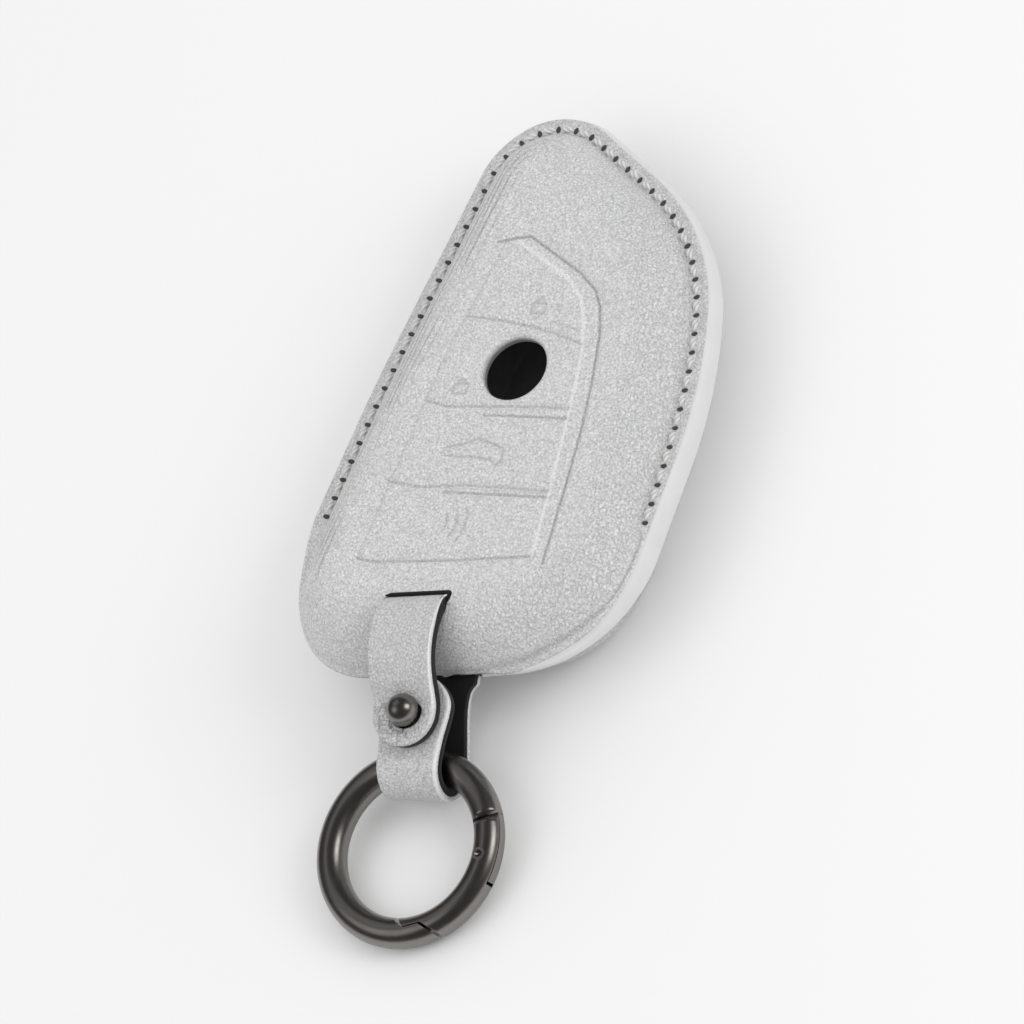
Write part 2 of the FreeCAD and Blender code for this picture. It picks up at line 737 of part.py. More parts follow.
def stitches(label, level, side):
    """Thread seen on one face of the seam, as one node of small blocks."""
    blocks = []
    length, width, height = (SIZES[f"stitch_{name}"] for name in ("length", "width", "height"))
    for middle, heading in seam_places():
        block = Part.makeBox(length, width, height, FreeCAD.Vector(-length / 2, -width / 2, 0))
        angle = math.degrees(math.atan2(heading.y, heading.x))
        block.rotate(FreeCAD.Vector(0, 0, 0), FreeCAD.Vector(0, 0, 1), angle)
        base = level.value if side > 0 else level.value - height
        block.translate(FreeCAD.Vector(middle.x, middle.y, base))
        blocks.append(block)
    item = doc.addObject("Part::Feature", label)
    item.Label = label
    item.Shape = Part.makeCompound(blocks)
    item.Placement = FreeCAD.Placement()
    return item


seam_stitches = stitches("seam_stitches", FRONT_FACE, 1)
back_stitches = stitches("back_stitches", BACK_FACE, -1)

# ring tab, closure strap and their linings
ring_tab_lining = new_body("ring_tab_lining")
strip(ring_tab_lining, "tab_lining", tab_walk, 0, D["strap_lining"])
ring_tab = new_body("ring_tab")
strip(ring_tab, "tab_leather", tab_walk, D["strap_lining"], STRAP_THICK)
closure_strap_lining = new_body("closure_strap_lining")
strip(closure_strap_lining, "strap_lining", strap_walk, 0, D["strap_lining"])
closure_strap = new_body("closure_strap")
strip(closure_strap, "strap_leather", strap_walk, D["strap_lining"], STRAP_THICK)
for strap in (closure_strap_lining, closure_strap):
    round_end(strap, f"{strap.Label}_end", TIP, HALF_STRAP - D["strap_end_flat"] / 2)


def stud_sketch(body, name, drop=0):
    """A sketch square to the stud, drop below the ring tab's outer face."""
    sketch = new_sketch(body, name, turn=D["tab_rise"], turn_axis=(1, 0, 0))
    bind(sketch, "AttachmentOffset.Base.x", D["strap_x"])
    bind(sketch, "AttachmentOffset.Base.y", STUD_Y - UPWARD[0] * drop)
    bind(sketch, "AttachmentOffset.Base.z", STUD_Z - UPWARD[1] * drop)
    return sketch


def stud_hole(body, radius):
    """Bores a strap across its face where the stud stands."""
    area = stud_sketch(body, f"{body.Label}_hole_area")
    circle(area, 0, 0, radius)
    pocket(body, f"{body.Label}_hole", area, STRAP_THICK * 4, both_ways=True)


for strap, drop, thick in ((ring_tab, D["strap_leather"], D["strap_leather"]),
                           (ring_tab_lining, STRAP_THICK, D["strap_lining"])):
    head = stud_sketch(strap, f"{strap.Label}_head_area", drop)
    circle(head, 0, 0, HALF_STRAP + D["tab_head_bulge"])
    pad(strap, f"{strap.Label}_head", head, thick)
    stud_hole(strap, D["stud_neck"])
# the ball sinks into the leather's wide hole and is held by the narrow one in the lining
for strap, bore in ((closure_strap, D["stud_ball"]), (closure_strap_lining, D["stud_neck"])):
    stud_hole(strap, bore + D["button_gap"])
    slit = stud_sketch(strap, f"{strap.Label}_slit_area")
    rectangle(slit, -D["slit_width"] / 2, D["slit_width"] / 2, -D["slit_length"], 0)
    pocket(strap, f"{strap.Label}_slit", slit, STRAP_THICK * 4, both_ways=True)

# the closure strap's end, glued inside the front and coming up through the slot
strap_root = new_body("strap_root")
root_side = new_sketch(strap_root, "root_side", "YZ_Plane", level=D["strap_x"])
ROOT_TOP = PLATEAU - D["leather"] - D["lining"]
ROOT_NEAR = SLOT_Y + D["button_gap"]
ROOT_FAR = ROOT_NEAR + D["root_reach"]
rectangle(root_side, ROOT_NEAR, ROOT_FAR, ROOT_TOP - D["root_thick"], ROOT_TOP)
pad(strap_root, "root_strip", root_side, D["strap_width"], both_ways=True)
riser_side = new_sketch(strap_root, "riser_side", "YZ_Plane", level=D["strap_x"])
rectangle(riser_side, ROOT_NEAR, ROOT_NEAR + D["root_thick"], ROOT_TOP - D["root_thick"], PLATEAU)
pad(strap_root, "root_riser", riser_side, D["strap_width"], both_ways=True)


def turned(label, points, place=None, tilt=None):
    """A turned piece from its half profile of (radius, height) points, placed and tilted."""
    body = new_body(label)
    sketch = new_sketch(body, f"{label}_profile", "XZ_Plane")
    points = [(as_size(radius), as_size(height)) for radius, height in points]
    count = len(points)
    corners = [flat(radius.value, height.value) for radius, height in points]
    sides = [Part.LineSegment(corners[i], corners[(i + 1) % count]) for i in range(count)]
    sketch.addGeometry(sides, False)
    joins = [Sketcher.Constraint("Coincident", i, 2, (i + 1) % count, 1) for i in range(count)]
    sketch.addConstraint(joins)
    for index, (radius, height) in enumerate(points):
        across = Sketcher.Constraint("DistanceX", -1, 1, index, 1, radius.value)
        along = Sketcher.Constraint("DistanceY", -1, 1, index, 1, height.value)
        hold(sketch, across, f"radius_{index}", radius)
        hold(sketch, along, f"height_{index}", height)
    solid = feature(body, "Revolution", f"{label}_turned", sketch)
    solid.ReferenceAxis = (sketch, ["V_Axis"])
    solid.Angle = 360
    if place is not None:
        stand(body, place, tilt)
    return body


def stand(item, place, tilt):
    """Places an object, tilted about X, with every value bound."""
    spin = FreeCAD.Rotation(FreeCAD.Vector(1, 0, 0), tilt.value)
    base = FreeCAD.Vector(*(size.value for size in place))
    item.Placement = FreeCAD.Placement(base, spin)
    for axis, size in zip("xyz", place):
        bind(item, f"Placement.Base.{axis}", size)
    bind(item, "Placement.Rotation.Angle", tilt)


# button stud, screwed through the ring tab
STUD_PLACE = (D["strap_x"], STUD_Y, STUD_Z)
HEAD_FROM = RAISED + D["strap_lining"] + D["button_gap"]
BALL_LIFT = root(D["stud_ball"] * D["stud_ball"] - D["stud_neck"] * D["stud_neck"])
stud = turned("stud", [
    (D["screw_shank"], -STRAP_THICK),
    (D["stud_neck"], -STRAP_THICK),
    (D["stud_neck"], 0),
    (D["stud_collar"], 0),
    (D["stud_collar"], D["collar_thick"]),
    (D["stud_neck"], D["collar_thick"]),
    (D["stud_neck"], HEAD_FROM),
    (0, HEAD_FROM),
    (0, D["screw_reach"] - STRAP_THICK),
    (D["screw_shank"], D["screw_reach"] - STRAP_THICK),
], STUD_PLACE, D["tab_rise"])
ball = stud.newObject("PartDesign::AdditiveSphere", "stud_ball")
ball.AttachmentSupport = [(origin_plane(stud, "XY_Plane"), "")]
ball.MapMode = "FlatFace"
bind(ball, "Radius", D["stud_ball"])
bind(ball, "AttachmentOffset.Base.z", HEAD_FROM + BALL_LIFT)
stud_screw = turned("stud_screw", [
    (0, -STRAP_THICK - D["screw_head_thick"]),
    (D["screw_head"], -STRAP_THICK - D["screw_head_thick"]),
    (D["screw_head"], -STRAP_THICK),
    (D["screw_shank"], -STRAP_THICK),
    (D["screw_shank"], D["screw_reach"] - STRAP_THICK - D["button_gap"]),
    (0, D["screw_reach"] - STRAP_THICK - D["button_gap"]),
], STUD_PLACE, D["tab_rise"])
driver = new_sketch(stud_screw, "driver_area", level=-STRAP_THICK - D["screw_head_thick"])
rectangle(driver, -D["screw_head"] * 2, D["screw_head"] * 2, -D["driver_slot"] / 2, D["driver_slot"] / 2)
pocket(stud_screw, "driver_slot_cut", driver, D["driver_depth"], backward=True)

# ring in its own frame: centre at the origin, axis Z, the loop at +Y; tilted until it meets the floor
RING_TILT = arc_sine((LOOP_Z - D["ring_wire"]) / (D["ring_mean"] + LOOP_ARM))
RING_PLACE = (D["strap_x"], LOOP_Y - LOOP_ARM * cosine(RING_TILT), LOOP_Z - LOOP_ARM * sine(RING_TILT))
PIN_X = (D["ring_mean"] - D["pin_place"]) * cosine(D["pin_angle"])
PIN_Y = (D["ring_mean"] - D["pin_place"]) * sine(D["pin_angle"])


def sweep(body, kind, name, sketch, angle):
    """Turns a sketch about the ring's axis."""
    item = feature(body, kind, name, sketch)
    item.ReferenceAxis = (sketch, ["V_Axis"])
    bind(item, "Angle", angle)
    return item


def wire_section(body, name, start):
    """The ring's round section, standing at an angle."""
    sketch = new_sketch(body, name, "XZ_Plane", turn=as_size(start))
    circle(sketch, D["ring_mean"], 0, D["ring_wire"])
    return sketch


def polar(radius, angle):
    return radius * cosine(angle), radius * sine(angle)


def nose_region(body, name, shift, far_side):
    """Area on one side of the stepped line where gate and ring meet, as a sketch."""
    inner = D["ring_mean"] - D["ring_wire"] * 2
    outer = D["ring_mean"] + D["ring_wire"] * 2
    step = D["ring_mean"] - D["nose_mid"]
    line = [polar(inner, D["nose_inner_angle"] - 3), polar(step, D["nose_tip_angle"]),
            polar(step, D["nose_heel_angle"]), polar(outer, D["nose_outer_angle"])]
    if far_side:
        line += [(as_size(0), -outer * 2), (-outer, -outer * 2), (-outer, -inner)]
    else:
        line += [(outer, -outer), (outer, as_size(0)), (as_size(0), as_size(0))]
    sketch = new_sketch(body, name)
    places = [(as_size(x) - shift, as_size(y) - shift) for x, y in line]
    corners = [flat(x.value, y.value) for x, y in places]
    count = len(corners)
    sketch.addGeometry([Part.LineSegment(corners[i], corners[(i + 1) % count]) for i in range(count)], False)
    sketch.addConstraint([Sketcher.Constraint("Coincident", i, 2, (i + 1) % count, 1) for i in range(count)])
    for index, (x, y) in enumerate(places):
        hold(sketch, Sketcher.Constraint("DistanceX", -1, 1, index, 1, x.value), f"x_{index}", x)
        hold(sketch, Sketcher.Constraint("DistanceY", -1, 1, index, 1, y.value), f"y_{index}", y)
    return sketch


DEPTH = D["ring_wire"] * 4
ring_body = new_body("ring_body")
section = wire_section(ring_body, "ring_section", D["hinge_from"])
sweep(ring_body, "Revolution", "ring_sweep", section, D["nose_outer_angle"] + 360 - D["hinge_from"])
pocket(ring_body, "ring_nose", nose_region(ring_body, "ring_nose_area", D["nose_gap"], False),
       DEPTH, both_ways=True)
tongue = new_sketch(ring_body, "tongue_section", "XZ_Plane", turn=D["tongue_end"])
TONGUE_HALF = D["tongue_thick"] / 2
TONGUE_REACH = root(D["ring_wire"] * D["ring_wire"] - TONGUE_HALF * TONGUE_HALF)
rectangle(tongue, D["ring_mean"] - TONGUE_REACH, D["ring_mean"] + TONGUE_REACH, -TONGUE_HALF, TONGUE_HALF)
sweep(ring_body, "Revolution", "tongue_sweep", tongue, D["hinge_from"] + 1 - D["tongue_end"])
pin_seat = new_sketch(ring_body, "pin_seat_area")
circle(pin_seat, PIN_X, PIN_Y, D["pin_radius"])
pocket(ring_body, "pin_seat", pin_seat, DEPTH, both_ways=True)

ring_gate = new_body("ring_gate")
GATE_START = D["nose_inner_angle"] - 10
section = wire_section(ring_gate, "gate_section", GATE_START)
sweep(ring_gate, "Revolution", "gate_sweep", section, D["hinge_from"] - D["hinge_gap"] - GATE_START)
pocket(ring_gate, "gate_nose", nose_region(ring_gate, "gate_nose_area", as_size(0), True),
       DEPTH, both_ways=True)
fork = new_sketch(ring_gate, "fork_section", "XZ_Plane", turn=D["fork_end"])
FORK_HALF = TONGUE_HALF + D["fork_clear"]
rectangle(fork, D["ring_mean"] - D["ring_wire"] * 1.5, D["ring_mean"] + D["ring_wire"] * 1.5,
          -FORK_HALF, FORK_HALF)
sweep(ring_gate, "Groove", "fork_slot", fork, D["hinge_from"] + 5 - D["fork_end"])
pin_hole = new_sketch(ring_gate, "pin_hole_area")
circle(pin_hole, PIN_X, PIN_Y, D["pin_radius"] + D["pin_clear"])
pocket(ring_gate, "pin_hole", pin_hole, DEPTH, both_ways=True)
spring_seat = new_sketch(ring_gate, "spring_seat_area", "XZ_Plane", turn=D["fork_end"])
circle(spring_seat, D["ring_mean"], 0, D["spring_bore"])
pocket(ring_gate, "spring_seat", spring_seat, D["spring_depth"], backward=True)

gate_pin = new_body("gate_pin")
pin_area = new_sketch(gate_pin, "pin_area")
circle(pin_area, PIN_X, PIN_Y, D["pin_radius"])
pad(gate_pin, "pin_solid", pin_area, D["pin_length"], both_ways=True)
for end, backward in ((D["pin_length"] / 2, False), (-D["pin_length"] / 2, True)):
    dimple = new_sketch(gate_pin, f"dimple_area_{int(backward)}", level=end)
    circle(dimple, PIN_X, PIN_Y, D["dimple_radius"])
    pocket(gate_pin, f"dimple_{int(backward)}", dimple, D["dimple_depth"], backward=backward)

gate_spring = new_body("gate_spring")
coil = new_sketch(gate_spring, "coil_section", "XZ_Plane")
circle(coil, D["spring_coil"], 0, D["spring_wire"])
helix = feature(gate_spring, "AdditiveHelix", "coil", coil)
helix.ReferenceAxis = (coil, ["V_Axis"])
helix.Mode = "pitch-height-angle"
bind(helix, "Pitch", D["spring_pitch"])
bind(helix, "Height", D["spring_depth"] - D["spring_end_gap"] * 2 - D["spring_wire"] * 2)

doc.recompute()
for piece in (ring_body, ring_gate, gate_pin):
    stand(piece, RING_PLACE, RING_TILT)

# the coil stands in the gate's bore, along the gate's tangent at the end of the fork
ring_frame = FreeCAD.Placement(FreeCAD.Vector(*(size.value for size in RING_PLACE)),
                               FreeCAD.Rotation(FreeCAD.Vector(1, 0, 0), RING_TILT.value))
seat = math.radians(SIZES["fork_end"])
inward = FreeCAD.Vector(math.sin(seat), -math.cos(seat), 0)
mouth = FreeCAD.Vector(math.cos(seat), math.sin(seat), 0) * SIZES["ring_mean"]
lift = SIZES["spring_end_gap"] + SIZES["spring_wire"]
coil_frame = FreeCAD.Placement(mouth + inward * lift, FreeCAD.Rotation(FreeCAD.Vector(0, 0, 1), inward))
gate_spring.Placement = ring_frame.multiply(coil_frame)
doc.recompute()

PIECES = (
    front_panel, front_lining, back_panel, back_lining, seam_welt, edge_band, seam_stitches,
    back_stitches, strap_root, back_flap, flap_lining, flap_edge_band, ring_tab, ring_tab_lining,
    stud, stud_screw, closure_strap, closure_strap_lining, ring_body, gate_pin, ring_gate, gate_spring,
)

for item in doc.Objects:
    if "Invalid" in item.State or "Error" in item.State:
        raise RuntimeError(f"{item.Label} did not build: {item.State}")
os.makedirs("parts", exist_ok=True)
for piece in PIECES:
    shape = piece.Shape
    if shape.isNull() or not shape.isValid() or not shape.Solids:
        raise RuntimeError(f"{piece.Label} is not a valid solid")
    shape.exportStep(f"parts/{piece.Label}.step")
    print(piece.Label, len(shape.Solids), "solids,", round(shape.Volume, 1), "mm3")
for name, place in (("loop", (D["strap_x"], LOOP_Y, LOOP_Z)), ("ring", RING_PLACE),
                    ("stud", STUD_PLACE), ("slot", (D["strap_x"], SLOT_Y, PLATEAU)),
                    ("pin in ring", (PIN_X, PIN_Y)), ("ring tilt", (RING_TILT,))):
    print(name, [round(size.value, 4) for size in place])
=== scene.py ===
"""Looks of a sewn leather key fob cover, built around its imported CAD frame.

Shapes are worked out in millimetres as whole numpy arrays, in the frame's own axes, and become
metres in one place, ``Skin.as_object``.
"""

import logging
import math
from dataclasses import dataclass, field
from enum import Enum
from typing import Any

import bmesh
import bpy
import numpy as np
from mathutils import Matrix, Vector


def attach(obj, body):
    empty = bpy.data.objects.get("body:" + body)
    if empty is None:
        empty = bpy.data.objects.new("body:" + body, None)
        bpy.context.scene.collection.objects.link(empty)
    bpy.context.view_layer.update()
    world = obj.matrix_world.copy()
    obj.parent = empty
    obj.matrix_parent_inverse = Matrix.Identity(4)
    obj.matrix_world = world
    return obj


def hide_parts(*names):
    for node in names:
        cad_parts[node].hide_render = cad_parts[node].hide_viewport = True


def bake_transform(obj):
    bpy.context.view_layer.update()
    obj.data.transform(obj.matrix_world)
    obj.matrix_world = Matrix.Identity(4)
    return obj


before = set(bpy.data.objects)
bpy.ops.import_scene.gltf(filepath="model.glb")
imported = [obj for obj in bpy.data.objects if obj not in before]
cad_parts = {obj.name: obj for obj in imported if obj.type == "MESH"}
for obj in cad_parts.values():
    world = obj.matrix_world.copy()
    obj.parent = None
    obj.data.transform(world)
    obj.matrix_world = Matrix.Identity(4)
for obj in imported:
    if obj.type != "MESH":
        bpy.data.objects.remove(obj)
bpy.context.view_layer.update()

MM = 0.001
# cells along a side of the noise lattice
LATTICE = 64
# how far a painted edge highlight fades, and how far its line lies from the edge, in mm
HIGHLIGHT_REACH = 0.9
HIGHLIGHT_LINE = 0.3
LOG = logging.getLogger("key_fob_cover")

Array = np.ndarray
Place = tuple[float, float]


class Body(str, Enum):
    """The jointed bodies that a piece can ride on."""

    CASE = "case"
    FLAP = "flap"
    STRAP = "strap"
    RING = "ring"
    GATE = "gate"


class Slot(str, Enum):
    """The record's material slots."""

    LEATHER = "grey_leather"
    LINING = "black_lining"
    EDGE = "painted_edge"
    THREAD = "grey_thread"
    METAL = "gunmetal"
    SPRING = "spring_steel"


class Face(Enum):
    """The two sewn faces of the cover."""

    FRONT = 1
    BACK = -1


def srgb(code: str) -> tuple[float, float, float, float]:
    """Turns an sRGB hex code into the linear colour that shaders take.

    Args:
        code: Six hex digits after a hash sign.

    Returns:
        Linear red, green and blue, and an alpha of 1.
    """
    parts = [int(code[i:i + 2], 16) / 255 for i in (1, 3, 5)]
    linear = [p / 12.92 if p <= 0.04045 else ((p + 0.055) / 1.055) ** 2.4 for p in parts]
    return linear[0], linear[1], linear[2], 1.0


def smooth(low: float, high: float, value: Array) -> Array:
    """Eases from 0 at low to 1 at high: t * t * (3 - 2 t), t = (value - low) / (high - low).

    Args:
        low: Value where the step starts.
        high: Value where the step ends; it may be under low.
        value: Where to read the step.

    Returns:
        The step at each value.
    """
    t = np.clip((value - low) / (high - low), 0.0, 1.0)
    return t * t * (3.0 - 2.0 * t)


def value_noise(x: Array, y: Array, cell: Place, seed: int) -> Array:
    """Smooth noise from -1 to 1 on a seeded lattice, eased between its four nearest corners.

    Args:
        x: First coordinate.
        y: Second coordinate.
        cell: Lattice pitch along each coordinate.
        seed: Seed of the lattice.

    Returns:
        The noise at each point.
    """
    table = np.random.default_rng(seed).uniform(-1.0, 1.0, (LATTICE, LATTICE))
    u, v = x / cell[0], y / cell[1]
    i, j = np.floor(u).astype(int), np.floor(v).astype(int)
    fu, fv = smooth(0.0, 1.0, u - i), smooth(0.0, 1.0, v - j)
    left, right, low, high = i % LATTICE, (i + 1) % LATTICE, j % LATTICE, (j + 1) % LATTICE
    near = table[left, low] * (1 - fu) + table[right, low] * fu
    far = table[left, high] * (1 - fu) + table[right, high] * fu
    return near * (1 - fv) + far * fv


def line_offset(x: Array, y: Array, line: tuple[Place, ...]) -> Array:
    """Distance from points to an open polyline, positive on its left.

    Args:
        x: First coordinate of the points.
        y: Second coordinate of the points.
        line: The polyline's corners.

    Returns:
        The signed distance to the nearest of its segments.
    """
    nearest = np.full(x.shape, np.inf)
    for (ax, ay), (bx, by) in zip(line, line[1:]):
        dx, dy = bx - ax, by - ay
        t = np.clip(((x - ax) * dx + (y - ay) * dy) / (dx * dx + dy * dy), 0.0, 1.0)
        off = np.hypot(x - ax - t * dx, y - ay - t * dy)
        side = np.where(dx * (y - ay) - dy * (x - ax) < 0, -1.0, 1.0)
        nearest = np.where(off < np.abs(nearest), off * side, nearest)
    return nearest


def even(points: Array, count: int, closed: bool) -> Array:
    """Reads a polyline at even steps of its length.

    Args:
        points: The polyline, one row a point; its length is read in the first two columns.
        count: Points wanted.
        closed: Whether the last point runs on to the first.

    Returns:
        The evenly spaced points; a closed line doesn't repeat its first.
    """
    line = np.vstack([points, points[:1]]) if closed else points
    run = np.concatenate([[0.0], np.cumsum(np.hypot(*np.diff(line[:, :2], axis=0).T))])
    at = np.linspace(0.0, run[-1], count, endpoint=not closed)
    return np.column_stack([np.interp(at, run, line[:, k]) for k in range(line.shape[1])])


def edge_drop(away: Array, radius: float) -> Array:
    """Drop of a face at its rounded edge: r - sqrt(r r - (r - away) ** 2) within r of the edge."""
    t = np.clip(1.0 - away / radius, 0.0, 1.0)
    return radius * (1.0 - np.sqrt(np.clip(1.0 - t * t, 0.0, 1.0)))


def edge_highlight_marks(edge: Array, strength: Array) -> dict[str, Array]:
    """Marks of a painted highlight line beside an edge, fading as exp(-(edge / reach) ** 2).

    Args:
        edge: Distance from the edge.
        strength: How strongly the line shows, 0 to 1.

    Returns:
        The marks of the leather's ridge line, which is a painted highlight.
    """
    near = strength * np.exp(-(edge / HIGHLIGHT_REACH) ** 2)
    return {"ridge_near": near, "ridge_side": near * (edge - HIGHLIGHT_LINE)}


@dataclass
class Skin:
    """Closed surfaces over grids of points.

    Attributes:
        points: Grid points in mm, shaped (pieces, rows, columns, 3). Columns wrap round.
        ring: Whether rows wrap round too; if not, both end rows are closed by a fan.
        marks: Named values at the points, for shaders, each shaped like the grid.
    """

    points: Array
    ring: bool = False
    marks: dict[str, Array] = field(default_factory=dict)

    def _faces(self) -> tuple[Array, Array]:
        """Lists the faces as rows of point numbers.

        Returns:
            Quads of the grid, and triangles of its end fans.
        """
        pieces, rows, columns, _ = self.points.shape
        number = np.arange(pieces * rows * columns).reshape(pieces, rows, columns)
        ahead = np.roll(number, -1, axis=2)
        last = rows if self.ring else rows - 1
        above, above_ahead = np.roll(number, -1, axis=1), np.roll(ahead, -1, axis=1)
        quads = np.stack([number, ahead, above_ahead, above], axis=-1)[:, :last].reshape(-1, 4)
        if self.ring:
            return quads, np.zeros((0, 3), int)
        poles = number.size + np.arange(pieces * 2).reshape(2, pieces, 1)
        first = np.stack([ahead[:, 0], number[:, 0], poles[0] + 0 * number[:, 0]], axis=-1)
        final = np.stack([number[:, -1], ahead[:, -1], poles[1] + 0 * number[:, -1]], axis=-1)
        return quads, np.concatenate([first.reshape(-1, 3), final.reshape(-1, 3)])

    def as_object(self, name: str, material: bpy.types.Material) -> bpy.types.Object:
        """Makes the mesh object, in metres at the origin, with its faces outward.

        Args:
            name: The object's name.
            material: Its one material.

        Returns:
            The new object, smooth-shaded.
        """
        quads, fans = self._faces()
        flat = self.points.reshape(-1, 3)
        values = {key: value.reshape(-1) for key, value in self.marks.items()}
        if not self.ring:
            flat = np.concatenate([flat, self.points[:, 0].mean(1), self.points[:, -1].mean(1)])
            values = {key: np.concatenate([mark.reshape(-1), mark[:, 0].mean(-1),
                                           mark[:, -1].mean(-1)])
                      for key, mark in self.marks.items()}
        triangles = np.concatenate([quads[:, [0, 1, 2]], quads[:, [0, 2, 3]], fans])
        a, b, c = (flat[triangles[:, k]] for k in range(3))
        if np.einsum("ij,ij->", a, np.cross(b, c)) < 0:
            quads, fans = quads[:, ::-1], fans[:, ::-1]
        corners = np.concatenate([quads.ravel(), fans.ravel()])
        sides = np.concatenate([np.full(len(quads), 4), np.full(len(fans), 3)])
        mesh = bpy.data.meshes.new(name)
        mesh.vertices.add(len(flat))
        mesh.vertices.foreach_set("co", (flat * MM).astype(np.float32).ravel())
        mesh.loops.add(len(corners))
        mesh.loops.foreach_set("vertex_index", corners.astype(np.int32))
        mesh.polygons.add(len(sides))
        mesh.polygons.foreach_set("loop_start", (np.cumsum(sides) - sides).astype(np.int32))
        mesh.update(calc_edges=True)
        mesh.shade_smooth()
        for key, value in values.items():
            mark = mesh.attributes.new(key, "FLOAT", "POINT")
            mark.data.foreach_set("value", value.astype(np.float32))
        mesh.materials.append(material)
        made = bpy.data.objects.new(name, mesh)
        bpy.context.scene.collection.objects.link(made)
        LOG.info("%s: %d faces", name, len(sides))
        return made


def add_node(tree: bpy.types.NodeTree, kind: str, inputs: dict[Any, Any] | None = None,
             **settings: Any) -> bpy.types.Node:
    """Adds a shader node, sets it and wires it.

    Args:
        tree: Node tree to add to.
        kind: The node's type name, without its prefix.
        inputs: Socket name or number to a value or to another node's output.
        **settings: The node's own properties.

    Returns:
        The new node.
    """
    made = tree.nodes.new("ShaderNode" + kind)
    for key, value in settings.items():
        setattr(made, key, value)
    for key, value in (inputs or {}).items():
        if isinstance(value, bpy.types.NodeSocket):
            tree.links.new(value, made.inputs[key])
        else:
            made.inputs[key].default_value = value
    return made


def new_material(name: str) -> tuple[bpy.types.Material, bpy.types.NodeTree]:
    """Makes an empty node material.

    Args:
        name: The material's name.

    Returns:
        The material and its node tree.
    """
    made = bpy.data.materials.new(name)
    made.use_nodes = True
    made.node_tree.nodes.clear()
    return made, made.node_tree


def close_material(tree: bpy.types.NodeTree, shader: dict[Any, Any]) -> None:
    """Ends a material with one Principled shader.

    Args:
        tree: The material's node tree.
        shader: Values and wires for the shader's sockets.
    """
    surface = add_node(tree, "BsdfPrincipled", shader)
    add_node(tree, "OutputMaterial", {"Surface": surface.outputs[0]})


